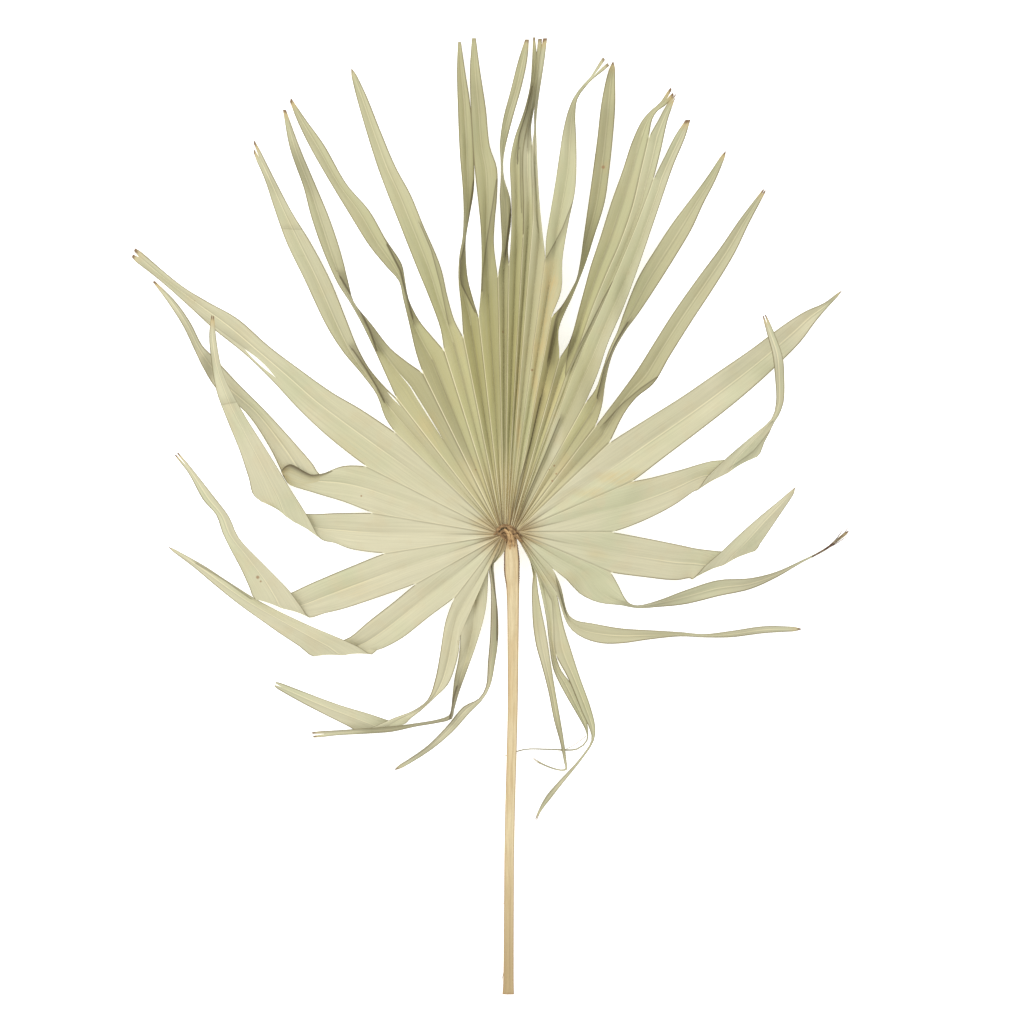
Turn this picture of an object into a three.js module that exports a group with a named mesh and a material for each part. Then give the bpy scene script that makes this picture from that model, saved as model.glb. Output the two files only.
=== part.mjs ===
// A dried fan palm leaf, as picked and laid down on a flat surface with its upper face up: a long
// petiole, the hastula on the petiole's head, and one pleated blade that is cut into long segments.
// Millimetres, +Z up. The petiole points along -Y and the middle of the fan along +Y.
import * as THREE from "three";

// Driving sizes of the whole leaf. The leaf was measured on a board ruled in millimetres, with X to
// the right and Y down, and BOARD_MIDDLE is the middle of the rectangle that the leaf covers there.
const BOARD_MIDDLE = { x: 492, y: 516 };
const HUB = { x: 509, y: 534, z: 24 };

// The ring round the hub where the pleats start, and the turn from the first seam to the last.
const RING = { halfWidth: 20, halfDepth: 10, firstAngle: 246, lastAngle: -42 };

// The blade's sheet, and how finely it is ruled. crowding: the power that draws the rows together
// near the hub. shallowest: the share of a pleat's depth that is left at the ring. notch: the depth
// of the notch in a tip. steepest: the least slope's cosine that the offset to a face still follows.
const SHEET = {
  thickness: 0.8, palmRows: 5, rowStep: 34, crowding: 1.3, shallowest: 0.06, notch: 6, steepest: 0.45,
};

// The petiole's head stays this far inside the ring of pleats, and the hastula this far above it.
const SEAT_GAP = 0.3;

const COLOURS = { blade: 0xc9c79c, petiole: 0xdcb983, hastula: 0x9a6f4a };

// The free edge beside the petiole on the leaf's left, where it leaves the palm: X, Y and height.
const FIRST_SEAM = [494, 563, 20];

// The segments, clockwise from the petiole's left side. Edge A is the one met first on that way round.
// seam: where edge B splits from the next segment, as X, Y and height. The last one is a free edge.
// pleat: how far the midrib lies below the two edges at the seam.
// joined: along how many stations of the path edge A still holds to the segment before.
// path: stations from there to the tip, each as edge A's X and Y, edge B's X and Y, the middle's
// height, how much higher edge A is than edge B, and how far the midrib lies off the line between them.
const SEGMENTS = [
  { seam: [489, 568, 19], pleat: 2, path: [
    [495, 585, 491, 585, 18, -9, 1], [498, 615, 491, 615, 15, -7, 1], [498, 640, 490, 640, 13, -6, 1],
    [495, 662, 488, 662, 12, -5, 1], [490, 686, 486, 686, 11, -7, 0.5], [482, 700, 479, 698, 10, -8, 0.5],
    [470, 712, 464, 706, 9, -5, 0.5], [452, 732, 446, 727, 7, -4, 0.5], [432, 749, 428, 745, 5, -4, 0.3],
    [412, 762, 410, 758, 3, -3, 0.2], [396, 771, 394, 768, 1.5, -1, 0] ] },
  { seam: [461, 632, 16], pleat: 4, path: [
    [486, 608, 460, 648, 16, 2, 4], [477, 642, 458, 662, 14, 4, 3], [467, 670, 455, 676, 13, 6, 2],
    [459, 692, 453, 692, 12, 8, 1], [454, 710, 451, 710, 12, 9, 0.5], [452, 718, 449, 715, 12, 8, 0.3],
    [438, 722, 438, 719, 12, 7, 0], [415, 726, 415, 723, 12, 6, 0], [392, 731, 392, 726, 12, 5, 0.5],
    [365, 733, 365, 728, 11, 4, 0.5], [335, 735, 335, 730, 9, 3, 0.5], [314, 738, 312, 731, 7, 1, 0] ] },
  { seam: [455, 597, 18], pleat: 4, path: [
    [459, 650, 446, 620, 16, 3, 4], [455, 667, 440, 655, 14, 3, 4], [448, 684, 435, 680, 12, 3, 3],
    [435, 697, 428, 699, 10, 5, 2], [420, 711, 414, 710, 8, 5, 1], [411, 718, 396, 717, 6.6, 1, 0.5],
    [404, 724, 358, 731, 4.3, 0, 0], [394, 722, 350, 727, 2, 0, 0], [370, 714, 338, 721, 1.8, 0, 1],
    [340, 705, 318, 711, 1.6, 0, 1], [310, 694, 297, 700, 1.2, 0, 0.8], [276, 681, 274, 687, 0.4, 0, 0] ] },
  { seam: [417, 583, 20], pleat: 4, path: [
    [430, 616, 395, 601, 18, 0, 4], [402, 638, 368, 622, 13, 0, 3], [383, 648, 350, 637, 7, 0, 2],
    [377, 650, 330, 646, 4, 0, 0.5], [372, 654, 314, 656, 7.5, 0, 0], [358, 646, 300, 646, 11, 0, 0.5],
    [338, 637, 282, 634, 13, 0, 2], [305, 623, 262, 620, 12, 0, 3], [262, 602, 238, 603, 9, 0, 3],
    [228, 581, 213, 583, 6, 0, 2], [205, 566, 195, 568, 3, 0, 1], [169, 546, 168, 548, 0.4, 0, 0] ] },
  { seam: [386, 553, 22], pleat: 4, path: [
    [370, 600, 345, 569, 20, 0, 4], [342, 609, 312, 583, 16, 0, 3], [325, 613, 280, 597, 13, 0, 0.5],
    [310, 617, 256, 599, 16.5, 0, 0], [304, 609, 251, 588, 20, 0, 0.5], [291, 591, 243, 570, 22, 0, 2],
    [268, 567, 231, 547, 24, 0, 3], [240, 537, 224, 532, 25, 0, 3], [231, 517, 218, 515, 26, 0, 2],
    [216, 497, 205, 500, 26, 0, 1.5], [198, 474, 190, 473, 24, 0, 1.2], [180, 452, 176, 456, 21, 0, 0] ] },
  { seam: [374, 513, 23], pleat: 4, path: [
    [352, 549, 340, 513, 18, 0, 4], [336, 543, 300, 513, 13, 0, 1], [322, 539, 256, 497, 17, 0, 0],
    [309, 517, 250, 478, 21, 0, 0.5], [291, 488, 241, 450, 27, 0, 2.5], [268, 450, 229, 420, 32, 0, 3],
    [245, 413, 219, 392, 36, 0, 3], [226, 375, 214, 362, 38, 0, 2], [219, 340, 212, 338, 40, 0, 1],
    [217, 318, 214, 317, 40, 0, 0] ] },
  { seam: [368, 467, 24], pleat: 5, path: [
    [345, 502, 345, 466, 20, -2, 4], [312, 492, 330, 471, 17, -3, 2], [288, 483, 321, 475, 15, -3, 1],
    [281, 469, 314, 465, 14, 0, 1], [270, 447, 296, 444, 13, 2, 3], [246, 412, 266, 411, 13, 2, 3],
    [218, 390, 238, 383, 12, 2, 2], [205, 370, 213, 356, 12, 3, 1], [196, 352, 203, 346, 10, 2, 1],
    [184, 327, 191, 323, 8, 1, 1], [170, 305, 176, 302, 5, 0, 0.8], [153, 282, 155, 281, 3, 0, 0] ] },
  { seam: [397, 434, 25], pleat: 5, path: [
    [330, 438, 362, 410, 22, 0, 4], [300, 410, 333, 393, 19, 0, 4], [272, 380, 302, 371, 16, 0, 3.5],
    [245, 354, 270, 347, 13, 0, 3.5], [215, 330, 238, 319, 11, 0, 4], [190, 307, 208, 302, 8, 0, 4],
    [163, 283, 182, 286, 5, 0, 3], [133, 257, 136, 249, 0.4, 0, 0] ] },
  { seam: [398, 400, 27], pleat: 5, notch: 14, path: [
    [386, 418, 391, 393, 25, 8, 3], [378, 396, 383, 385, 23, 12, 2], [362, 374, 369, 368, 20, 10, 2],
    [345, 354, 359, 350, 18, 6, 3], [328, 328, 348, 323, 16, 2, 4], [305, 280, 331, 281, 13, 0, 4],
    [287, 243, 311, 243, 10, -2, 4], [274, 207, 293, 214, 7, -2, 3], [265, 180, 275, 180, 4, 0, 2],
    [254, 155, 254, 138, 1.5, 0, 0] ] },
  { seam: [424, 375, 29], pleat: 6, path: [
    [390, 383, 408, 363, 28, 4, 4], [376, 352, 391, 349, 26, 6, 4], [362, 323, 372, 325, 24, 10, 3],
    [350, 302, 354, 302, 21, 14, 1], [339, 285, 349, 284, 18, 12, 2], [324, 252, 342, 256, 15, 8, 3],
    [312, 218, 331, 222, 12, 4, 4], [304, 188, 317, 188, 9, 2, 3], [290, 148, 300, 148, 5, 0, 2],
    [283, 110, 286, 110, 1.5, 0, 0] ] },
  { seam: [445, 353, 30], pleat: 7, path: [
    [417, 355, 433, 338, 29, 3, 4], [410, 325, 420, 322, 28, 8, 3], [404, 300, 409, 300, 26, 13, 1],
    [400, 283, 405, 279, 24, 14, 1], [388, 269, 402, 265, 22, 10, 2], [370, 247, 386, 240, 20, 4, 3],
    [350, 215, 370, 212, 17, 0, 4], [330, 182, 347, 185, 13, 0, 4], [310, 147, 324, 145, 9, 0, 3],
    [297, 120, 306, 120, 5, 0, 2], [290, 102, 291, 98, 2, 0, 0] ] },
  { seam: [464, 340, 31], pleat: 8, path: [
    [441, 330, 455, 322, 30, 2, 5], [431, 302, 448, 298, 28, 4, 5], [417, 268, 441, 268, 26, 3, 5],
    [400, 225, 423, 225, 22, 0, 4], [388, 195, 411, 196, 19, 0, 4], [378, 168, 396, 168, 15, 0, 3],
    [366, 130, 380, 130, 10, 0, 3], [356, 95, 366, 95, 5, 0, 2], [350, 70, 353, 68, 1.5, 0, 0] ] },
  { seam: [479, 320, 31], pleat: 9, path: [
    [462, 312, 474, 303, 30, 8, 4], [459, 280, 468, 280, 29, 12, 3], [460, 257, 466, 257, 27, 15, 1],
    [463, 240, 466, 240, 25, 16, 1], [464, 215, 470, 215, 23, 13, 1], [463, 190, 474, 190, 20, 8, 2],
    [460, 155, 474, 155, 16, 3, 3], [458, 110, 471, 110, 11, 0, 3], [457, 70, 465, 70, 6, 0, 2],
    [458, 42, 461, 42, 2, 0, 0] ] },
  { seam: [498, 280, 31], pleat: 10, path: [
    [481, 295, 496, 264, 31, 5, 5], [482, 262, 494, 245, 30, 8, 5], [481, 230, 495, 222, 29, 6, 5],
    [478, 200, 497, 200, 27, 3, 5], [475, 172, 497, 170, 25, 2, 5], [473, 148, 490, 148, 22, 0, 4],
    [471, 110, 486, 110, 17, 0, 3], [470, 70, 480, 70, 12, 0, 2], [472, 39, 476, 39, 8, 0, 0] ] },
  { seam: [509, 268, 31], pleat: 10, path: [
    [502, 252, 508, 248, 30, 10, 2], [501, 222, 511, 222, 29, 10, 2], [500, 198, 510, 200, 28, 11, 2],
    [501, 180, 504, 180, 26, 13, 1], [501, 165, 503, 165, 24, 13, 0.5], [500, 148, 505, 150, 22, 9, 1],
    [503, 122, 512, 122, 18, 4, 2], [511, 90, 521, 90, 13, 0, 2], [518, 62, 527, 62, 8, 0, 1.5],
    [525, 40, 529, 40, 5, 0, 0] ] },
  { seam: [523, 240, 30], pleat: 10, path: [
    [511, 240, 522.5, 210, 29, 2, 4], [511.5, 215, 521.5, 185, 28, 2, 4], [511, 190, 521, 165, 27, 3, 3],
    [510, 165, 521, 143, 25, 3, 3], [514, 142, 525, 132, 23, 3, 2], [524, 113, 531, 113, 20, 4, 1],
    [530, 88, 535, 88, 16, 4, 1], [532, 62, 537, 62, 11, 2, 1], [533, 38, 535, 38, 7, 0, 0] ] },
  { seam: [533, 222, 30], pleat: 9, path: [
    [523.5, 205, 533, 195, 28, 0, 3], [522.5, 175, 532, 168, 27, 0, 3], [523, 150, 532, 148, 26, 0, 2],
    [527, 130, 531, 130, 24, 2, 1.5], [530.5, 112, 534, 110, 22, 4, 1], [533, 95, 536, 92, 20, 4, 1],
    [535, 70, 540, 70, 16, 2, 1], [538, 40, 542, 40, 12, 0, 0] ] },
  { seam: [545, 262, 31], pleat: 9, joined: 3, path: [
    [533, 195, 542, 232, 29, 0, 4], [532, 168, 539, 200, 28, 0, 4], [532, 148, 537.5, 172, 27, 1, 3],
    [534, 132, 536.5, 148, 26.5, 1, 1], [534, 115, 536, 125, 26, 2, 1], [535, 102, 537.5, 108, 25, 3, 1],
    [536.5, 88, 540, 90, 23, 3, 1], [538.5, 64, 544, 64, 19, 2, 1], [543, 40, 547, 40, 16, 0, 0] ] },
  { seam: [551, 319, 30], pleat: 10, notch: 12, path: [
    [546, 240, 561, 292, 30, 0, 5], [550, 215, 562, 262, 29, -2, 5], [555, 185, 568, 225, 27, -4, 5],
    [559, 158, 575, 190, 25, -3, 4], [563, 132, 576, 145, 22, -3, 3], [568, 112, 575, 117, 18, -4, 2],
    [574, 98, 577, 101, 16, -4, 1], [582, 87, 584, 90, 14, -3, 0.5], [591, 77, 593, 80, 12, -2, 0.3],
    [602, 57, 610, 68, 11, 0, 0] ] },
  { seam: [559, 360, 29], pleat: 9, path: [
    [560, 309, 558, 332, 29, 5, 2], [566, 300, 563, 317, 28, 8, 1], [571, 291, 570, 302, 27, 11, 1],
    [576, 281, 578, 283, 25, 12, 0.5], [580, 262, 586, 262, 23, 10, 1], [583, 240, 593, 240, 21, 6, 2],
    [588, 205, 604, 205, 17, 2, 3], [593, 170, 609, 172, 14, 0, 3], [597, 140, 612, 145, 11, 0, 3],
    [601, 105, 615, 107, 8, 0, 2], [606, 80, 615, 80, 4, 0, 2], [611, 62, 615, 62, 2, 0, 0] ] },
  { seam: [566, 377, 28], pleat: 5, path: [
    [569, 343, 577, 352, 27, 0, 4], [580, 305, 591, 312, 25, 0, 4], [590, 268, 607, 273, 23, 0, 4],
    [600, 238, 620, 243, 21, 0, 4], [611, 203, 632, 208, 18, 0, 4], [622, 172, 641, 170, 15, 0, 3],
    [632, 142, 648, 140, 13, 0, 3], [642, 121, 652, 120, 11, -2, 2], [651, 111, 657, 112, 10, -3, 1],
    [660, 103, 664, 107, 8, -2, 0.5], [670, 87, 674, 97, 6, 0, 0] ] },
  { seam: [582, 350, 29], pleat: 1.5, joined: 7, path: [
    [577, 352, 590, 333, 29, 0, 1.5], [591, 312, 605, 300, 28, 0, 3], [607, 273, 620, 265, 27, 0, 4],
    [620, 243, 633, 234, 25, 0, 4], [632, 208, 643, 208, 23, 0, 4], [641, 170, 652, 183, 21, 0, 3],
    [648, 140, 661, 148, 18, 0, 2], [658, 121, 667, 122, 15, 0, 1.5], [666, 106, 671, 110, 13, 0, 1],
    [676, 94, 674, 101, 12, 0, 0] ] },
  { seam: [584, 405, 27], pleat: 7, joined: 6, path: [
    [590, 333, 597, 375, 30, 0, 4], [605, 300, 607, 345, 31, 0, 5], [620, 265, 623, 308, 32, 0, 5],
    [633, 234, 637, 270, 31, 0, 5], [643, 208, 650, 232, 29, 0, 4], [652, 183, 661, 200, 26, 0, 3],
    [664, 158, 673, 166, 22, 0, 3], [674, 138, 684, 140, 17, 0, 2], [685, 121, 690, 121, 12, 0, 0] ] },
  { seam: [594, 428, 27], pleat: 6, path: [
    [595, 390, 601, 408, 27, 5, 3], [602, 370, 605, 382, 26, 9, 1], [608, 352, 612, 355, 25, 12, 0.5],
    [617, 332, 624, 333, 24, 12, 1], [624, 312, 638, 314, 22, 9, 2], [638, 278, 658, 284, 19, 5, 3],
    [655, 250, 675, 257, 16, 2, 3], [672, 224, 691, 230, 13, 0, 3], [690, 200, 703, 204, 10, 0, 3],
    [707, 177, 715, 181, 6, 0, 2], [724, 151, 727, 152, 2, 0, 0] ] },
  { seam: [608, 444, 26], pleat: 6, path: [
    [607, 411, 623, 415, 25, 3, 4], [622, 391, 636, 398, 24, 6, 3], [637, 370, 653, 384, 22, 6, 3],
    [652, 346, 669, 357, 19, 2, 4], [673, 313, 691, 322, 16, 0, 4], [697, 279, 714, 287, 13, 0, 4],
    [720, 248, 734, 254, 10, 0, 4], [740, 219, 749, 223, 6, 0, 3], [763, 189, 766, 191, 2, 0, 0] ] },
  { seam: [631, 482, 26], pleat: 5, path: [
    [645, 420, 663, 458, 23, 0, 4], [680, 398, 700, 430, 20, 0, 4], [715, 374, 738, 400, 17, 0, 4],
    [750, 350, 772, 370, 13, 0, 4], [785, 324, 800, 342, 9, 0, 3], [806, 311, 815, 322, 6, 0, 3],
    [824, 303, 827, 308, 3, 0, 1], [841, 290, 842, 292, 0.4, 0, 0] ] },
  { seam: [611, 532, 23], pleat: 5, path: [
    [650, 478, 640, 522, 21, 0, 5], [680, 470, 672, 506, 18, 0, 4], [712, 461, 694, 491, 14, 0, 1],
    [756, 457, 697, 490, 18, 0, 0], [763, 443, 706, 477, 22, 0, 1], [768, 433, 728, 456, 25, 0, 2],
    [772, 424, 750, 437, 28, 2, 2], [776, 417, 770, 419, 32, 8, 0.5], [781, 404, 774, 404, 35, 6, 1],
    [782, 380, 773, 380, 37, 3, 2], [780, 357, 770, 355, 38, 0, 2], [773, 337, 766, 340, 38, 0, 1.5],
    [764, 316, 760, 318, 38, 0, 0] ] },
  { seam: [610, 572, 21], pleat: 5, path: [
    [645, 538, 645, 577, 18, 0, 4], [680, 545, 676, 580, 13, 0, 3], [700, 549, 689, 578, 9, 0, 1],
    [754, 551, 692, 579, 12.5, 0, 0], [759, 544, 703, 567, 16, 0, 1], [765, 535, 722, 550, 19, 0, 3],
    [773, 523, 742, 531, 22, 0, 3], [783, 508, 765, 511, 24, 0, 3], [791, 496, 782, 497, 25, 0, 2],
    [795, 487, 793, 487, 25, 0, 0] ] },
  { seam: [552, 568, 20], pleat: 4, path: [
    [614, 578, 566, 579, 19, 0, 5], [619, 587, 579, 593, 18, 0, 5], [624, 597, 598, 602, 16, 3, 4],
    [629, 603, 622, 605, 15, 6, 2], [637, 605, 637, 608, 14, 9, 0.5], [655, 601, 655, 607, 12, 8, 1],
    [685, 590, 685, 604, 10, 4, 2], [718, 580, 718, 596, 8, 0, 3], [750, 578, 750, 589, 6, 0, 2],
    [775, 572, 777, 577, 4, 0, 1], [800, 561, 801, 563, 2.5, 0, 0.3], [825, 548, 826, 550, 1.5, 0, 0.2],
    [847, 530, 850, 532, 0.4, 0, 0] ] },
  { seam: [556, 592, 18], pleat: 3, path: [
    [559, 582, 560, 604, 17, 3, 2], [562.5, 594, 563, 613, 16, 5, 2], [565, 606, 566, 621, 15, 5, 2],
    [569, 615, 572, 630, 13.5, 4, 2], [576, 620, 584, 638, 12.5, 2, 3], [592, 623, 602, 643, 11, 0, 3],
    [620, 628, 622, 643, 9, 0, 3], [650, 630, 650, 639, 7, -3, 2], [680, 632, 680, 636, 6, -6, 1],
    [704, 634, 704, 637, 5, -7, 0.5], [730, 631, 730, 637, 4, -4, 1], [765, 626, 765, 633, 3, 0, 1],
    [801, 627, 801, 631, 0.4, 0, 0] ] },
  { seam: [551, 600, 16], pleat: 3, path: [
    [563.5, 626, 553, 626, 14.5, 1, 2], [571, 650, 555, 652, 13.5, 1, 3], [579, 675, 568, 678, 12.5, 1, 3],
    [590, 706, 582, 712, 11.5, 2, 3], [595, 727, 590, 730, 10.5, 3, 1], [594, 740, 590.5, 740, 9.5, 3, 0.3],
    [582, 759, 580, 757, 7, 2, 0], [562, 784, 558, 781, 5, 2, 0.5], [550, 799, 546, 796, 3.5, 2, 0.5],
    [541, 811, 539, 809, 2, 1, 0.2], [537, 820, 535, 819, 1, 0, 0] ] },
  { seam: [540, 592, 17], pleat: 2, joined: 2, path: [
    [553, 626, 546, 617, 14, 1, 2], [555, 652, 549, 643, 12, 0, 2], [561, 670, 553, 668, 9.5, 0, 2],
    [567, 684, 558, 682, 8.5, 0, 2], [575, 701, 566, 697, 7.5, 0, 2], [582, 718, 577, 716, 6, 0, 1.5],
    [588, 731, 585.5, 733, 4.5, 0, 0.5], [588, 741, 586, 740, 3, 0, 0.2], [578, 751, 577, 748, 2.2, 1, 0],
    [550, 751, 550, 749, 2, 1, 0], [525, 751, 525, 749, 1.6, 0, 0], [502, 758, 502, 756, 1.5, 0, 0] ] },
  { seam: [533, 575, 18], pleat: 2, path: [
    [540.5, 609, 532, 600, 17.5, 2, 1.5], [545, 628, 533, 625, 16, 2, 2], [548, 645, 536, 645, 15.5, 2, 2],
    [551, 665, 541, 663, 15, 2, 2], [555, 690, 548, 690, 13, 2, 2], [560, 718, 554, 720, 11, 3, 1],
    [564, 742, 559.5, 742, 9, 3, 0.5], [567, 762, 563.5, 762, 7.5, 2, 0.3], [567, 769, 563.5, 767, 6.8, 1, 0.2],
    [561, 771.5, 560, 768.5, 6, 0, 0], [545, 766.5, 546, 764, 5, 0, 0], [532, 759, 533, 756, 4, 0, 0] ] },
];

// The petiole from its head to its cut end: board Y, board X of its middle, width, height of its
// underside, and thickness.
const PETIOLE = [
  [525, 509, 6, 20.5, 4], [526.6, 509, 20, 19.2, 6.2], [529, 509, 30, 18, 8], [533, 509, 35, 17, 9.4],
  [537, 509.5, 31, 16.6, 9.6], [540, 510, 24, 16.4, 9.4], [543.5, 511, 15, 16.2, 9], [549, 511.5, 14, 16, 8.6],
  [565, 512, 15, 15.2, 8.2], [580, 512.5, 14.4, 14.5, 8], [600, 513, 12, 13.5, 7.6], [650, 513, 11, 11.2, 7],
  [700, 513, 10.5, 9, 6.8], [750, 511.7, 10.4, 6.8, 6.7], [800, 510, 10.2, 4.8, 6.6], [850, 509, 10, 2.7, 6.6],
  [890, 508.8, 9.8, 1, 6.6], [920, 508.6, 9.8, 0, 6.8], [960, 508.5, 10, 0, 7], [985, 508.3, 11, 0, 7.4],
  [994, 508.2, 12.4, 0, 7.8],
];

// The petiole's section, as shares of half its width and of its thickness: a flat underside, round
// flanks, sharp margins, and a low keel between two shallow channels on top.
const PETIOLE_SECTION = [
  [-0.34, 0], [0.34, 0], [0.72, 0.2], [0.94, 0.5], [1, 0.78], [0.8, 0.93], [0.42, 0.9], [0, 1],
  [-0.42, 0.9], [-0.8, 0.93], [-1, 0.78], [-0.94, 0.5], [-0.72, 0.2],
];

// The hastula's section, as shares of half its width and of its height: a flat foot under a round top.
const HASTULA_SECTION = [
  [-0.9, 0], [0.9, 0], [1, 0.3], [0.85, 0.7], [0.4, 1], [-0.4, 1], [-0.85, 0.7], [-1, 0.3],
];

// The hastula's crest on the petiole's head: board X and Y of its middle line, width, and height.
const HASTULA = [
  [493, 532.5, 2.4, 1.2], [496, 530.2, 5, 2.8], [499.5, 529, 6.2, 3.6], [503, 529.4, 5.4, 2.9],
  [506.5, 530.6, 6.6, 4.2], [510, 531.6, 5.6, 3.4], [513.5, 533, 6.8, 4.6], [517, 534.6, 5.8, 3.6],
  [520.5, 536, 5, 3], [524, 537, 2.6, 1.4],
];

const toHub = (x, y, z) => new THREE.Vector3(x - HUB.x, HUB.y - y, z);

// The point on the ring of pleats where a seam starts.
function ringPoint(index) {
  const share = index / SEGMENTS.length;
  const angle = THREE.MathUtils.degToRad(THREE.MathUtils.lerp(RING.firstAngle, RING.lastAngle, share));
  return new THREE.Vector3(RING.halfWidth * Math.cos(angle), RING.halfDepth * Math.sin(angle), HUB.z);
}

// How far out each row of the palm lies, from 0 at the ring to 1 at the seams' ends.
const PALM_SHARES = Array.from({ length: SHEET.palmRows + 1 }, (_, row) =>
  (row / SHEET.palmRows) ** SHEET.crowding);

function seamPoints(index, end) {
  const start = ringPoint(index);
  return PALM_SHARES.map((share) => start.clone().lerp(end, share));
}

// A segment's marks: the last two rows of its seams, and the stations of its path.
function pathMarks(segment, seamA, seamB) {
  const last = SHEET.palmRows;
  const lead = { a: seamA[last - 1], b: seamB[last - 1] };
  const split = { a: seamA[last], b: seamB[last], pleat: segment.pleat };
  const stations = segment.path.map(([ax, ay, bx, by, z, lift, pleat]) =>
    ({ a: toHub(ax, ay, z + lift / 2), b: toHub(bx, by, z - lift / 2), pleat }));
  return [lead, split, ...stations];
}

// One segment's free rows past its seams, each as edge A, midrib and edge B. Where it holds to the
// segment before, edge A is that one's edge B, and both have one row to a station.
function freeRows(i, marks, rowsBefore) {
  const joined = SEGMENTS[i].joined ?? 0;
  const shared = Math.max(joined, SEGMENTS[i + 1]?.joined ?? 0);
  const edgeA = new THREE.CatmullRomCurve3(marks.map((m) => m.a), false, "centripetal");
  const edgeB = new THREE.CatmullRomCurve3(marks.map((m) => m.b), false, "centripetal");
  const spans = marks.length - 1;
  const rows = [];
  for (let k = 1; k < spans; k++) {
    const reach = (marks[k].a.distanceTo(marks[k + 1].a) + marks[k].b.distanceTo(marks[k + 1].b)) / 2;
    const steps = k <= shared ? 1 : Math.max(1, Math.round(reach / SHEET.rowStep));
    for (let s = 1; s <= steps; s++) {
      const share = s / steps;
      const at = (k + share) / spans;
      const pleat = THREE.MathUtils.lerp(marks[k].pleat, marks[k + 1].pleat, share);
      rows.push({ a: edgeA.getPoint(at), b: edgeB.getPoint(at), pleat });
    }
  }
  for (let row = 0; row < joined; row++) rows[row].a = rowsBefore[row].b;
  placeMidribs(rows, marks[1], SEGMENTS[i].notch ?? SHEET.notch);
  return rows;
}

// Puts each row's midrib off the line between its edges, and draws the tip's midrib back as a notch.
function placeMidribs(rows, split, notch) {
  const middle = (row) => row.a.clone().add(row.b).multiplyScalar(0.5);
  rows.forEach((row, k) => {
    const before = middle(rows[k - 1] ?? split);
    const after = middle(rows[k + 1] ?? row);
    const along = after.sub(before);
    const up = row.b.clone().sub(row.a).cross(along).normalize();
    row.m = middle(row).addScaledVector(up, -row.pleat);
  });
  const tip = rows[rows.length - 1];
  const back = rows[rows.length - 2].m.clone().sub(tip.m);
  tip.m.addScaledVector(back.normalize(), notch);
}

// The blade's middle surface: points, and quads that run A to B across and outwards along.
function bladeSheet() {
  const points = [];
  const quads = [];
  const add = (p) => points.push(p) - 1;
  const ends = [FIRST_SEAM, ...SEGMENTS.map((s) => s.seam)].map((e) => toHub(...e));
  const seams = ends.map((end, i) => seamPoints(i, end));
  const seamIds = seams.map((seam) => seam.map(add));
  let rowsBefore = [];
  SEGMENTS.forEach((segment, i) => {
    const rowIds = seams[i].map((a, row) => {
      const m = a.clone().add(seams[i + 1][row]).multiplyScalar(0.5);
      m.z -= segment.pleat * Math.max(SHEET.shallowest, PALM_SHARES[row]);
      return [seamIds[i][row], add(m), seamIds[i + 1][row]];
    });
    const marks = pathMarks(segment, seams[i], seams[i + 1]);
    const rows = freeRows(i, marks, rowsBefore);
    rows.forEach((row, r) => {
      row.idA = r < (segment.joined ?? 0) ? rowsBefore[r].idB : add(row.a);
      row.idB = add(row.b);
      rowIds.push([row.idA, add(row.m), row.idB]);
    });
    rowsBefore = rows;
    for (let k = 1; k < rowIds.length; k++)
      for (const side of [0, 1])
        quads.push([rowIds[k - 1][side], rowIds[k - 1][side + 1], rowIds[k][side + 1], rowIds[k][side]]);
  });
  return { points, quads };
}

// Each point's way out of the sheet: the mean of its faces' normals, lengthened where they are steep.
function sheetNormals(points, quads) {
  const faceNormals = quads.map(([a, b, c, d]) => {
    const across = points[c].clone().sub(points[a]);
    return across.cross(points[d].clone().sub(points[b])).normalize();
  });
  const sums = points.map(() => new THREE.Vector3());
  quads.forEach((quad, f) => quad.forEach((p) => sums[p].add(faceNormals[f])));
  const normals = sums.map((s) => s.normalize());
  const least = points.map(() => 1);
  quads.forEach((quad, f) => quad.forEach((p) => {
    least[p] = Math.min(least[p], Math.abs(normals[p].dot(faceNormals[f])));
  }));
  return normals.map((n, p) => n.multiplyScalar(1 / Math.max(SHEET.steepest, least[p])));
}

// The sheet given its thickness: two faces cut into triangles alike, and a wall along each open edge.
function thicken({ points, quads }, thickness) {
  const normals = sheetNormals(points, quads);
  const count = points.length;
  const upper = points.map((p, i) => p.clone().addScaledVector(normals[i], thickness / 2));
  const lower = points.map((p, i) => p.clone().addScaledVector(normals[i], -thickness / 2));
  const faces = [];
  const open = new Map();
  for (const quad of quads) {
    const [a, b, c, d] = quad;
    faces.push([a, b, c], [a, c, d]);
    faces.push([c + count, b + count, a + count], [d + count, c + count, a + count]);
    quad.forEach((from, k) => {
      const to = quad[(k + 1) % quad.length];
      const twin = to + "," + from;
      if (open.has(twin)) open.delete(twin);
      else open.set(from + "," + to, [from, to]);
    });
  }
  for (const [from, to] of open.values())
    faces.push([from, from + count, to + count], [from, to + count, to]);
  return solid([...upper, ...lower], faces);
}

function solid(points, faces) {
  const geometry = new THREE.BufferGeometry().setFromPoints(points);
  geometry.setIndex(faces.flat());
  geometry.computeVertexNormals();
  return geometry;
}

// A closed skin over rings of equally many points, with a flat fan over each end.
function skin(rings) {
  const sides = rings[0].length;
  const faces = [];
  for (let r = 1; r < rings.length; r++)
    for (let k = 0; k < sides; k++) {
      const next = (k + 1) % sides;
      const [a, b] = [(r - 1) * sides + k, (r - 1) * sides + next];
      const [c, d] = [r * sides + next, r * sides + k];
      faces.push([a, b, c], [a, c, d]);
    }
  const lastRing = (rings.length - 1) * sides;
  for (let k = 1; k < sides - 1; k++) {
    faces.push([0, k + 1, k]);
    faces.push([lastRing, lastRing + k, lastRing + k + 1]);
  }
  return solid(rings.flat(), faces);
}

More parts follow.
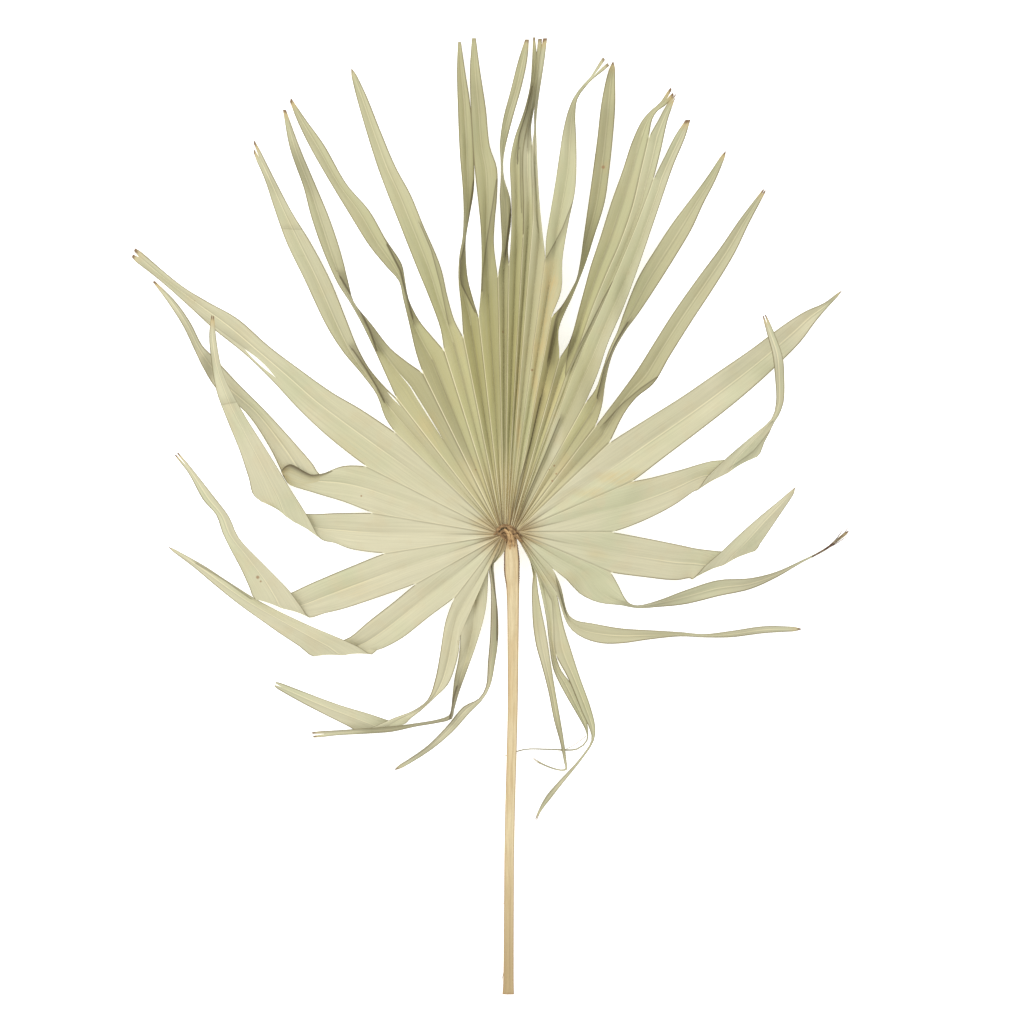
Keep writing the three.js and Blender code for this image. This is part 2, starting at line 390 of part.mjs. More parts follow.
function petiole() {
  const inside = 2 * SEAT_GAP;
  return skin(PETIOLE.map(([y, x, width, underside, thickness]) =>
    PETIOLE_SECTION.map(([across, up]) =>
      toHub(x + (across * (width - inside)) / 2, y, underside + up * thickness))));
}

// The top of the petiole's head under a point of the hastula.
function headTop(y) {
  const after = PETIOLE.findIndex((row) => row[0] >= y);
  const [low, high] = [PETIOLE[after - 1], PETIOLE[after]];
  const share = (y - low[0]) / (high[0] - low[0]);
  return THREE.MathUtils.lerp(low[3] + low[4], high[3] + high[4], share);
}

function hastula() {
  return skin(HASTULA.map(([x, y, width, height]) => {
    const foot = headTop(y) + SEAT_GAP;
    return HASTULA_SECTION.map(([across, up]) => toHub(x, y - (across * width) / 2, foot + up * height));
  }));
}

function piece(name, geometry, color, roughness) {
  const mesh = new THREE.Mesh(geometry, new THREE.MeshStandardMaterial({ color, roughness, metalness: 0 }));
  mesh.name = name;
  return mesh;
}

const leaf = new THREE.Group();
leaf.position.set(HUB.x - BOARD_MIDDLE.x, BOARD_MIDDLE.y - HUB.y, 0);
leaf.add(piece("blade", thicken(bladeSheet(), SHEET.thickness), COLOURS.blade, 0.6));
leaf.add(piece("petiole", petiole(), COLOURS.petiole, 0.55));
leaf.add(piece("hastula", hastula(), COLOURS.hastula, 0.8));

export default leaf;
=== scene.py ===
"""A dried fan palm leaf lying face up on a pale floor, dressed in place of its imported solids.

Places on the leaf are read off a board ruled in millimetres, with X to the right and Y down. The
rectangle that the leaf covers on the board has its middle over the model's origin.
"""

import logging
import math
from dataclasses import dataclass
from enum import Enum

import bpy
import numpy as np
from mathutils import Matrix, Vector, noise

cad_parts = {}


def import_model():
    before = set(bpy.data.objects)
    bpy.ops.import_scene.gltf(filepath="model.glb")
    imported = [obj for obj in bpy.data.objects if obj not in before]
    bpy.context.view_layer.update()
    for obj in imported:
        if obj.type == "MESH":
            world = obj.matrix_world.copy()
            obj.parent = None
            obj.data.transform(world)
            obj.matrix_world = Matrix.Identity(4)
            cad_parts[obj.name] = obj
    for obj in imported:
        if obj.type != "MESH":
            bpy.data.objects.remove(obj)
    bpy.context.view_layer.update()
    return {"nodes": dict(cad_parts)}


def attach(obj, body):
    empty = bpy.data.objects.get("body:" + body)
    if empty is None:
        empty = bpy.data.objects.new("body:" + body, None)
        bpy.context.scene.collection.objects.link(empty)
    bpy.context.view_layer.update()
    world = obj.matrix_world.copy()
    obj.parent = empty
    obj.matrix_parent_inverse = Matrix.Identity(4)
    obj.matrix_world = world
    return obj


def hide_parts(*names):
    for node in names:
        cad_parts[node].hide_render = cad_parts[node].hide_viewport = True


MM = 0.001
BOARD_MIDDLE = (492, 516)
# Corners that turn by more degrees than this stay sharp on a smooth mesh.
SHARP_CORNER = 42
# Stands in for the strength of the painted shade beside a seam where an edge is free.
FREE_EDGE = -1.0
# Stands in for the opening of a slit that splits a tip in two.
FORKED = -1.0

log = logging.getLogger("palm_leaf")


class Slot(Enum):
    """The record's material slots."""

    BLADE = "blade"
    PETIOLE = "petiole"
    HASTULA = "hastula"


@dataclass(frozen=True)
class Segment:
    """One segment of the blade, as measured on the board in millimetres.

    Edge A is the one met first when going round clockwise from the petiole's left side.

    Attributes:
        seam: where edge B splits from the next segment, as X, Y and height.
        pleat: how far the midrib lies below the two edges there.
        path: stations to the tip, each as edge A's X and Y, edge B's X and Y, the middle's height,
            how much higher edge A is than edge B, and how far the midrib lies off their line.
        olive: how far its colour goes from pale straw to olive, from 0 to 1.
        joined: along how many stations edge A still holds to the segment before.
        fork: the length of the slit that splits its tip in two.
        blunt: whether its tip ends squarely.
        dry: how far its tip has dried to brown, from 0 to about 1.
        tears: slits along it, each as a column, where it starts and ends from the hub, and its width.
    """

    seam: tuple
    pleat: float
    path: tuple
    olive: float = 0.0
    joined: int = 0
    fork: float = 0.0
    blunt: bool = False
    dry: float = 0.5
    tears: tuple = ()


# The blade's free edge beside the petiole on the left, where it leaves the palm.
FIRST_SEAM = (494, 563, 20)

SEGMENTS = (
    Segment((489, 568, 19), 2, olive=0.1, path=(
        (495, 585, 491, 585, 18, -9, 1), (498, 615, 491, 615, 15, -7, 1),
        (498, 640, 490, 640, 13, -6, 1), (495, 662, 488, 662, 12, -5, 1),
        (490, 686, 486, 686, 11, -7, 0.5), (482, 700, 479, 698, 10, -8, 0.5),
        (470, 712, 464, 706, 9, -5, 0.5), (452, 732, 446, 727, 7, -4, 0.5),
        (432, 749, 428, 745, 5, -4, 0.3), (412, 762, 410, 758, 3, -3, 0.2),
        (396, 771, 394, 768, 1.5, -1, 0),)),
    Segment((461, 632, 16), 4, olive=0.15, fork=13, dry=0.6, path=(
        (486, 608, 460, 648, 16, 2, 4), (477, 642, 458, 662, 14, 4, 3), (467, 670, 455, 676, 13, 6, 2),
        (459, 692, 453, 692, 12, 8, 1), (454, 710, 451, 710, 12, 9, 0.5),
        (452, 718, 449, 715, 12, 8, 0.3), (438, 722, 438, 719, 12, 7, 0),
        (415, 726, 415, 723, 12, 6, 0), (392, 731, 392, 726, 12, 5, 0.5),
        (365, 733, 365, 728, 11, 4, 0.5), (335, 735, 335, 730, 9, 3, 0.5),
        (314, 738, 312, 731, 7, 1, 0),)),
    Segment((455, 597, 18), 4, olive=0.1, fork=6, dry=0.15, path=(
        (459, 650, 446, 620, 16, 3, 4), (455, 667, 440, 655, 14, 3, 4), (448, 684, 435, 680, 12, 3, 3),
        (435, 697, 428, 699, 10, 5, 2), (420, 711, 414, 710, 8, 5, 1),
        (411, 718, 396, 717, 6.6, 1, 0.5), (404, 724, 358, 731, 4.3, 0, 0),
        (394, 722, 350, 727, 2, 0, 0), (370, 714, 338, 721, 1.8, 0, 1), (340, 705, 318, 711, 1.6, 0, 1),
        (310, 694, 297, 700, 1.2, 0, 0.8), (276, 681, 274, 687, 0.4, 0, 0),)),
    Segment((417, 583, 20), 4, olive=0.03, dry=0.5, path=(
        (430, 616, 395, 601, 18, 0, 4), (402, 638, 368, 622, 13, 0, 3), (383, 648, 350, 637, 7, 0, 2),
        (377, 650, 330, 646, 4, 0, 0.5), (372, 654, 314, 656, 7.5, 0, 0),
        (358, 646, 300, 646, 11, 0, 0.5), (338, 637, 282, 634, 13, 0, 2),
        (305, 623, 262, 620, 12, 0, 3), (262, 602, 238, 603, 9, 0, 3), (228, 581, 213, 583, 6, 0, 2),
        (205, 566, 195, 568, 3, 0, 1), (169, 546, 168, 548, 0.4, 0, 0),)),
    Segment((386, 553, 22), 4, olive=0, fork=14, dry=0.8, path=(
        (370, 600, 345, 569, 20, 0, 4), (342, 609, 312, 583, 16, 0, 3),
        (325, 613, 280, 597, 13, 0, 0.5), (310, 617, 256, 599, 16.5, 0, 0),
        (304, 609, 251, 588, 20, 0, 0.5), (291, 591, 243, 570, 22, 0, 2),
        (268, 567, 231, 547, 24, 0, 3), (240, 537, 224, 532, 25, 0, 3), (231, 517, 218, 515, 26, 0, 2),
        (216, 497, 205, 500, 26, 0, 1.5), (198, 474, 190, 473, 24, 0, 1.2),
        (180, 452, 176, 456, 21, 0, 0),)),
    Segment((374, 513, 23), 4, olive=0, fork=5, dry=1.1, path=(
        (352, 549, 340, 513, 18, 0, 4), (336, 543, 300, 513, 13, 0, 1), (322, 539, 256, 497, 17, 0, 0),
        (309, 517, 250, 478, 21, 0, 0.5), (291, 488, 241, 450, 27, 0, 2.5),
        (268, 450, 229, 420, 32, 0, 3), (245, 413, 219, 392, 36, 0, 3), (226, 375, 214, 362, 38, 0, 2),
        (219, 340, 212, 338, 40, 0, 1), (217, 318, 214, 317, 40, 0, 0),)),
    Segment((368, 467, 24), 5, olive=0.05, dry=1.4, blunt=True, path=(
        (345, 502, 345, 466, 20, -2, 4), (312, 492, 330, 471, 17, -3, 2),
        (288, 483, 321, 475, 15, -3, 1), (281, 469, 314, 465, 14, 0, 1), (270, 447, 296, 444, 13, 2, 3),
        (246, 412, 266, 411, 13, 2, 3), (218, 390, 238, 383, 12, 2, 2), (205, 370, 213, 356, 12, 3, 1),
        (196, 352, 203, 346, 10, 2, 1), (184, 327, 191, 323, 8, 1, 1), (170, 305, 176, 302, 5, 0, 0.8),
        (153, 282, 155, 281, 3, 0, 0),)),
    Segment((397, 434, 25), 5, olive=0.12, fork=7, dry=0.7, tears=((3, 279, 316, 4.2),), path=(
        (330, 438, 362, 410, 22, 0, 4), (300, 410, 333, 393, 19, 0, 4),
        (272, 380, 302, 371, 16, 0, 3.5), (245, 354, 270, 347, 13, 0, 3.5),
        (215, 330, 238, 319, 11, 0, 4), (190, 307, 208, 302, 8, 0, 4), (163, 283, 182, 286, 5, 0, 3),
        (131.5, 258.5, 135.5, 247, 0.4, 0, 0),)),
    Segment((398, 400, 27), 5, olive=0.42, fork=12, dry=1.0, tears=((14, 160, 180, 2.0),), path=(
        (386, 418, 391, 393, 25, 8, 3), (378, 396, 383, 385, 23, 12, 2),
        (362, 374, 369, 368, 20, 10, 2), (345, 354, 359, 350, 18, 6, 3), (328, 328, 348, 323, 16, 2, 4),
        (305, 280, 331, 281, 13, 0, 4), (287, 243, 311, 243, 10, -2, 4), (274, 207, 293, 214, 7, -2, 3),
        (265, 180, 275, 180, 4, 0, 2), (254, 155, 254, 138, 1.5, 0, 0),)),
    Segment((424, 375, 29), 6, olive=0.6, blunt=True, dry=1.3, tears=((8, 120, 193, 1.5),), path=(
        (390, 383, 408, 363, 28, 4, 4), (376, 352, 391, 349, 26, 6, 4), (362, 323, 372, 325, 24, 10, 3),
        (350, 302, 354, 302, 21, 14, 1), (339, 285, 349, 284, 18, 12, 2),
        (324, 252, 342, 256, 15, 8, 3), (312, 218, 331, 222, 12, 4, 4), (304, 188, 317, 188, 9, 2, 3),
        (290, 148, 300, 148, 5, 0, 2), (283, 110, 286, 110, 1.5, 0, 0),)),
    Segment((445, 353, 30), 7, olive=0.68, dry=1.4, blunt=True, path=(
        (417, 355, 433, 338, 29, 3, 4), (410, 325, 420, 322, 28, 8, 3), (404, 300, 409, 300, 26, 13, 1),
        (400, 283, 405, 279, 24, 14, 1), (388, 269, 402, 265, 22, 10, 2),
        (370, 247, 386, 240, 20, 4, 3), (350, 215, 370, 212, 17, 0, 4), (330, 182, 347, 185, 13, 0, 4),
        (310, 147, 324, 145, 9, 0, 3), (297, 120, 306, 120, 5, 0, 2), (290, 102, 291, 98, 2, 0, 0),)),
    Segment((464, 340, 31), 8, olive=0.66, dry=0.5, path=(
        (441, 330, 455, 322, 30, 2, 5), (431, 302, 448, 298, 28, 4, 5), (417, 268, 441, 268, 26, 3, 5),
        (400, 225, 423, 225, 22, 0, 4), (388, 195, 411, 196, 19, 0, 4), (378, 168, 396, 168, 15, 0, 3),
        (366, 130, 380, 130, 10, 0, 3), (356, 95, 366, 95, 5, 0, 2), (350, 70, 353, 68, 1.5, 0, 0),)),
    Segment((479, 320, 31), 9, olive=0.88, dry=0.25, blunt=True, path=(
        (462, 312, 474, 303, 30, 8, 4), (459, 280, 468, 280, 29, 12, 3),
        (460, 257, 466, 257, 27, 15, 1), (463, 240, 466, 240, 25, 16, 1),
        (464, 215, 470, 215, 23, 13, 1), (463, 190, 474, 190, 20, 8, 2), (460, 155, 474, 155, 16, 3, 3),
        (458, 110, 471, 110, 11, 0, 3), (457, 70, 465, 70, 6, 0, 2), (458, 42, 461, 42, 2, 0, 0),)),
    Segment((498, 280, 31), 10, olive=0.85, dry=0.25, blunt=True, path=(
        (481, 295, 496, 264, 31, 5, 5), (482, 262, 494, 245, 30, 8, 5), (481, 230, 495, 222, 29, 6, 5),
        (478, 200, 497, 200, 27, 3, 5), (475, 172, 497, 170, 25, 2, 5), (473, 148, 490, 148, 22, 0, 4),
        (471, 110, 486, 110, 17, 0, 3), (470, 70, 480, 70, 12, 0, 2), (472, 39, 476, 39, 8, 0, 0),)),
    Segment((509, 268, 31), 10, olive=0.74, blunt=True, dry=0.6, path=(
        (502, 252, 508, 248, 30, 10, 2), (501, 222, 511, 222, 29, 10, 2),
        (500, 198, 510, 200, 28, 11, 2), (501, 180, 504, 180, 26, 13, 1),
        (501, 165, 503, 165, 24, 13, 0.5), (500, 148, 505, 150, 22, 9, 1),
        (503, 122, 512, 122, 18, 4, 2), (511, 90, 521, 90, 13, 0, 2), (518, 62, 527, 62, 8, 0, 1.5),
        (525, 40, 529, 40, 5, 0, 0),)),
    Segment((523, 240, 30), 10, olive=0.88, blunt=True, dry=0.5, path=(
        (511, 240, 523.5, 210, 29, 4, 4), (511.5, 215, 523.7, 185, 28, 4, 4),
        (511, 190, 523.9, 165, 27, 5, 3), (510, 165, 524, 145, 25, 4, 3), (514, 142, 526.5, 132, 23, 3, 2),
        (524, 113, 531, 113, 20, 4, 1), (530, 88, 535, 88, 16, 4, 1), (532, 62, 537, 62, 11, 2, 1),
        (533, 38, 535, 38, 7, 0, 0),)),
    Segment((533, 222, 30), 9, olive=0.72, blunt=True, dry=0.5, path=(
        (523.5, 205, 533, 195, 28, 0, 3), (522.5, 175, 532, 168, 27, 0, 3),
        (523, 150, 532, 148, 26, 0, 2), (527, 130, 531, 130, 24, 2, 1.5),
        (530.5, 112, 534, 110, 22, 4, 1), (533, 95, 536, 92, 20, 4, 1), (535, 70, 540, 70, 16, 2, 1),
        (538, 40, 542, 40, 12, 0, 0),)),
    Segment((545, 262, 31), 9, olive=0.55, blunt=True, dry=1.0, joined=3, path=(
        (533, 195, 542, 232, 29, 0, 4), (532, 168, 539, 200, 28, 0, 4),
        (532, 148, 537.5, 172, 27, 1, 3), (534, 132, 536.5, 148, 26.5, 1, 1),
        (534, 115, 536, 125, 26, 2, 1), (535, 102, 537.5, 108, 25, 3, 1),
        (536.5, 88, 540, 90, 23, 3, 1), (538.5, 64, 544, 64, 19, 2, 1), (543, 40, 547, 40, 16, 0, 0),)),
    Segment((551, 319, 30), 10, olive=0.55, fork=19, dry=0.5, path=(
        (546, 240, 561, 292, 30, 0, 5), (550, 215, 562, 262, 29, -2, 5),
        (555, 185, 568, 225, 27, -4, 5), (559, 158, 575, 190, 25, -3, 4),
        (563, 132, 576, 145, 22, -3, 3), (568, 112, 575, 117, 18, -4, 2),
        (574, 98, 577, 101, 16, -4, 1), (582, 87, 584, 90, 14, -3, 0.5),
        (591, 77, 593, 80, 12, -2, 0.3), (602, 57, 610, 68, 11, 0, 0),)),
    Segment((559, 360, 29), 9, olive=0.85, dry=0.8, path=(
        (560, 309, 558, 332, 29, 5, 2), (566, 300, 563, 317, 28, 8, 1), (571, 291, 570, 302, 27, 11, 1),
        (576, 281, 578, 283, 25, 12, 0.5), (580, 262, 586, 262, 23, 10, 1),
        (583, 240, 593, 240, 21, 6, 2), (588, 205, 604, 205, 17, 2, 3), (593, 170, 609, 172, 14, 0, 3),
        (597, 140, 612, 145, 11, 0, 3), (601, 105, 615, 107, 8, 0, 2), (606, 80, 615, 80, 4, 0, 2),
        (611, 62, 615, 62, 2, 0, 0),)),
    Segment((566, 377, 28), 5, olive=0.75, fork=8, dry=1.0, path=(
        (569, 343, 577, 352, 27, 0, 4), (580, 305, 591, 312, 25, 0, 4), (590, 268, 607, 273, 23, 0, 4),
        (600, 238, 620, 243, 21, 0, 4), (611, 203, 632, 208, 18, 0, 4), (622, 172, 641, 170, 15, 0, 3),
        (632, 142, 648, 140, 13, 0, 3), (642, 121, 652, 120, 11, -2, 2),
        (651, 111, 657, 112, 10, -3, 1), (660, 103, 664, 107, 8, -2, 0.5), (670, 87, 674, 97, 6, 0, 0),)),
    Segment((582, 350, 29), 1.5, olive=0.55, fork=6, dry=1.1, joined=7, path=(
        (577, 352, 590, 333, 29, 0, 1.5), (591, 312, 605, 300, 28, 0, 3),
        (607, 273, 620, 265, 27, 0, 4), (620, 243, 633, 234, 25, 0, 4), (632, 208, 643, 208, 23, 0, 4),
        (641, 170, 652, 183, 21, 0, 3), (648, 140, 661, 148, 18, 0, 2),
        (658, 121, 667, 122, 15, 0, 1.5), (666, 106, 671, 110, 13, 0, 1), (676, 94, 674, 101, 12, 0, 0),)),
    Segment((584, 405, 27), 7, olive=0.45, blunt=True, dry=1.3, joined=6, path=(
        (590, 333, 597, 375, 30, 0, 4), (605, 300, 607, 345, 31, 0, 5), (620, 265, 623, 308, 32, 0, 5),
        (633, 234, 637, 270, 31, 0, 5), (643, 208, 650, 232, 29, 0, 4), (652, 183, 661, 200, 26, 0, 3),
        (664, 158, 673, 166, 22, 0, 3), (674, 138, 684, 140, 17, 0, 2), (685, 121, 690, 121, 12, 0, 0),)),
    Segment((594, 428, 27), 6, olive=0.65, dry=1.1, path=(
        (595, 390, 601, 408, 27, 5, 3), (602, 370, 605, 382, 26, 9, 1),
        (608, 352, 612, 355, 25, 12, 0.5), (617, 332, 624, 333, 24, 12, 1),
        (624, 312, 638, 314, 22, 9, 2), (638, 278, 658, 284, 19, 5, 3), (655, 250, 675, 257, 16, 2, 3),
        (672, 224, 691, 230, 13, 0, 3), (690, 200, 703, 204, 10, 0, 3), (707, 177, 715, 181, 6, 0, 2),
        (724, 151, 727, 152, 2, 0, 0),)),
    Segment((608, 444, 26), 6, olive=0.55, dry=0.9, fork=4, path=(
        (607, 411, 623, 415, 25, 3, 4), (622, 391, 636, 398, 24, 6, 3), (637, 370, 653, 384, 22, 6, 3),
        (652, 346, 669, 357, 19, 2, 4), (673, 313, 691, 322, 16, 0, 4), (697, 279, 714, 287, 13, 0, 4),
        (720, 248, 734, 254, 10, 0, 4), (740, 219, 749, 223, 6, 0, 3), (763, 189, 766, 191, 2, 0, 0),)),
    Segment((631, 482, 26), 5, olive=0.08, dry=0.7, path=(
        (645, 420, 663, 458, 23, 0, 4), (680, 398, 700, 430, 20, 0, 4), (715, 374, 738, 400, 17, 0, 4),
        (750, 350, 772, 370, 13, 0, 4), (785, 324, 800, 342, 9, 0, 3), (806, 311, 815, 322, 6, 0, 3),
        (824, 303, 827, 308, 3, 0, 1), (841, 290, 842, 292, 0.4, 0, 0),)),
    Segment((611, 532, 23), 5, olive=0.03, fork=8, dry=0.9, path=(
        (650, 478, 640, 522, 21, 0, 5), (680, 470, 672, 506, 18, 0, 4), (712, 461, 694, 491, 14, 0, 1),
        (756, 457, 697, 490, 18, 0, 0), (763, 443, 706, 477, 22, 0, 1), (768, 433, 728, 456, 25, 0, 2),
        (772, 424, 750, 437, 28, 2, 2), (776, 417, 770, 419, 32, 8, 0.5),
        (781, 404, 774, 404, 35, 6, 1), (782, 380, 773, 380, 37, 3, 2), (780, 357, 770, 355, 38, 0, 2),
        (773, 337, 766, 340, 38, 0, 1.5), (764, 316, 760, 318, 38, 0, 0),)),
    Segment((610, 572, 21), 5, olive=0, dry=0.5, path=(
        (645, 538, 645, 577, 18, 0, 4), (680, 545, 676, 580, 13, 0, 3), (700, 549, 689, 578, 9, 0, 1),
        (754, 551, 692, 579, 12.5, 0, 0), (759, 544, 703, 567, 16, 0, 1),
        (765, 535, 722, 550, 19, 0, 3), (773, 523, 742, 531, 22, 0, 3), (783, 508, 765, 511, 24, 0, 3),
        (791, 496, 782, 497, 25, 0, 2), (795, 487, 793, 487, 25, 0, 0),)),
    Segment((552, 568, 20), 4, olive=0.03, dry=1.4, path=(
        (614, 578, 566, 579, 19, 0, 5), (619, 587, 579, 593, 18, 0, 5), (624, 597, 598, 602, 16, 3, 4),
        (629, 603, 622, 605, 15, 6, 2), (637, 605, 637, 608, 14, 9, 0.5),
        (655, 601, 655, 607, 12, 8, 1), (685, 590, 685, 604, 10, 4, 2), (718, 580, 718, 596, 8, 0, 3),
        (750, 578, 750, 589, 6, 0, 2), (775, 572, 777, 577, 4, 0, 1), (800, 561, 801, 563, 2.5, 0, 0.3),
        (825, 548, 826, 550, 1.5, 0, 0.2), (847, 530, 850, 532, 0.4, 0, 0),)),
    Segment((556, 592, 18), 3, olive=0.2, dry=0.7, path=(
        (559, 582, 560, 604, 17, 3, 2), (562.5, 594, 563, 613, 16, 5, 2),
        (565, 606, 566, 621, 15, 5, 2), (569, 615, 572, 630, 13.5, 4, 2),
        (576, 620, 584, 638, 12.5, 2, 3), (592, 623, 602, 643, 11, 0, 3), (620, 628, 622, 643, 9, 0, 3),
        (650, 630, 650, 639, 7, -3, 2), (680, 632, 680, 636, 6, -6, 1),
        (704, 634, 704, 637, 5, -7, 0.5), (730, 631, 730, 637, 4, -4, 1), (765, 626, 765, 633, 3, 0, 1),
        (801, 627, 801, 631, 0.4, 0, 0),)),
    Segment((551, 600, 16), 3, olive=0.2, dry=0.5, fork=6, path=(
        (563.5, 626, 553, 626, 14.5, 1, 2), (571, 650, 555, 652, 13.5, 1, 3),
        (579, 675, 568, 678, 12.5, 1, 3), (590, 706, 582, 712, 11.5, 2, 3),
        (595, 727, 590, 730, 10.5, 3, 1), (593.6, 740, 591.2, 740, 9.5, 2, 0.2),
        (582, 758.6, 580.4, 757.2, 7, 1, 0), (562, 783.6, 558.6, 781.2, 5, 1, 0.4),
        (550, 799, 546, 796, 3.5, 2, 0.5), (541, 811, 539, 809, 2, 1, 0.2),
        (537, 820, 535, 819, 1, 0, 0),)),
    Segment((535.5, 570, 18.5), 2, olive=0.18, dry=1.3, joined=2, path=(
        (553, 626, 546, 617, 14, 1, 2), (555, 652, 549, 643, 12, 0, 2), (561, 670, 553, 668, 9.5, 0, 2),
        (571.5, 684, 559, 682, 8.5, 0, 2), (579, 700, 567, 697, 7.5, 0, 2),
        (586, 717, 578, 716, 6, 0, 1.2), (588, 731, 586.2, 732.4, 4.5, 0, 0.3),
        (587.4, 740.6, 586.2, 740, 3, 0, 0.1), (577.6, 749.4, 577, 748.2, 2.2, 0.4, 0),
        (550, 749.8, 550, 748.6, 2, 0.4, 0),
        (525, 749.8, 525, 748.8, 1.6, 0, 0), (502, 757.2, 502, 756.4, 1.5, 0, 0),)),
    Segment((533, 575, 18), 2, olive=0.3, fork=9, dry=0.5, path=(
        (538, 592, 531.8, 590, 18, 1, 1.5), (541, 609, 532, 603, 17.5, 2, 1.5),
        (545, 628, 533, 625, 16, 2, 2),
        (548, 645, 536, 645, 15.5, 2, 2), (551, 665, 541, 663, 15, 2, 2),
        (555, 690, 548, 690, 13, 2, 2), (560, 718, 554, 720, 11, 3, 1),
        (564, 742, 560, 742, 9, 2, 0.4), (566.6, 762, 564, 762, 7.5, 1, 0.2),
        (566.9, 769.4, 565.2, 768, 6.8, 0.5, 0.1), (561, 770.6, 560.4, 769, 6, 0, 0),
        (545, 765.9, 545.6, 764.4, 5, 0, 0), (532, 758.6, 532.8, 757, 4, 0, 0),)),
)


def joined_after(index: int) -> int:
    """Along how many stations a segment's edge B holds to the next segment."""
    return SEGMENTS[index + 1].joined if index + 1 < len(SEGMENTS) else 0


def on_board(x: float, y: float, z: float) -> np.ndarray:
    """A place on the board, in the model's frame but in millimetres."""
    return np.array([x - BOARD_MIDDLE[0], BOARD_MIDDLE[1] - y, z], dtype=float)


def unit(vectors: np.ndarray) -> np.ndarray:
    """Vectors of length 1 along the last axis."""
    return vectors / np.maximum(np.linalg.norm(vectors, axis=-1, keepdims=True), 1e-9)


def smooth_step(low: float, high: float, values: np.ndarray) -> np.ndarray:
    """0 below low, 1 above high, and an even S between them."""
    share = np.clip((np.asarray(values, dtype=float) - low) / (high - low), 0, 1)
    return share * share * (3 - 2 * share)


def curve_span(points: np.ndarray, span: int, shares: np.ndarray) -> np.ndarray:
    """Points along one span of a centripetal Catmull-Rom curve.

    Args:
        points: the points that the whole curve passes through.
        span: the number of the span, which runs from that point to the next.
        shares: how far along the span each wanted point lies, from 0 to 1.

    Returns:
        One row for each share.
    """
    start, end = points[span], points[span + 1]
    before = points[span - 1] if span > 0 else 2 * start - end
    after = points[span + 2] if span + 2 < len(points) else 2 * end - start
    gaps = [max(1e-3, np.linalg.norm(q - p)) ** 0.5
            for p, q in ((before, start), (start, end), (end, after))]
    chord = (end - start) / gaps[1]
    leave = (start - before) / gaps[0] - (end - before) / (gaps[0] + gaps[1]) + chord
    arrive = chord - (after - start) / (gaps[1] + gaps[2]) + (after - end) / gaps[2]
    leave, arrive = leave * gaps[1], arrive * gaps[1]
    t = np.asarray(shares, dtype=float)[:, None]
    square = -3 * start + 3 * end - 2 * leave - arrive
    cube = 2 * start - 2 * end + leave + arrive
    return start + leave * t + square * t**2 + cube * t**3


def smooth_line(points: list, steps: int) -> np.ndarray:
    """A curve through all the points.

    Args:
        points: the points, each with all the numbers that are smoothed together.
        steps: how many steps there are to each span.

    Returns:
        The curve's points, one to a row.
    """
    knots = np.asarray(points, dtype=float)
    shares = np.arange(steps) / steps
    spans = [curve_span(knots, span, shares) for span in range(len(knots) - 1)]
    return np.vstack(spans + [knots[-1:]])


class Field:
    """A number that varies over a surface, wrapped so that shader maths reads as maths."""

    def __init__(self, shader: "Shader", socket: bpy.types.NodeSocket) -> None:
        """Wraps one output socket of a shader's nodes."""
        self.shader = shader
        self.socket = socket

    def _maths(self, operation: str, *operands: object) -> "Field":
        """Adds a Math node.

        Args:
            operation: what the node does.
            operands: its numbers and fields, in order.

        Returns:
            The node's result.
        """
        links = dict(enumerate(operands))
        made = self.shader.node("ShaderNodeMath", {"operation": operation}, links)
        return Field(self.shader, made.outputs[0])

    def __add__(self, other: object) -> "Field":
        """self + other"""
        return self._maths("ADD", self, other)

    def __sub__(self, other: object) -> "Field":
        """self - other"""
        return self._maths("SUBTRACT", self, other)

    def __rsub__(self, other: object) -> "Field":
        """other - self"""
        return self._maths("SUBTRACT", other, self)

    def __mul__(self, other: object) -> "Field":
        """self * other"""
        return self._maths("MULTIPLY", self, other)

    __radd__ = __add__
    __rmul__ = __mul__

    def __truediv__(self, other: object) -> "Field":
        """self / other"""
        return self._maths("DIVIDE", self, other)

    def __rtruediv__(self, other: object) -> "Field":
        """other / self"""
        return self._maths("DIVIDE", other, self)

    def __abs__(self) -> "Field":
        """abs(self)"""
        return self._maths("ABSOLUTE", self)

    def most(self, other: object) -> "Field":
        """The larger of the two."""
        return self._maths("MAXIMUM", self, other)

    def rise(self, low: float, high: float) -> "Field":
        """A smooth step from 0 to 1.

        Args:
            low: the value where the step is 0. It may be the larger of the two.
            high: the value where the step is 1.

        Returns:
            The step as a field.
        """
        made = self.shader.node(
            "ShaderNodeMapRange", {"interpolation_type": "SMOOTHSTEP"},
            {"Value": self, "From Min": low, "From Max": high})
        return Field(self.shader, made.outputs["Result"])


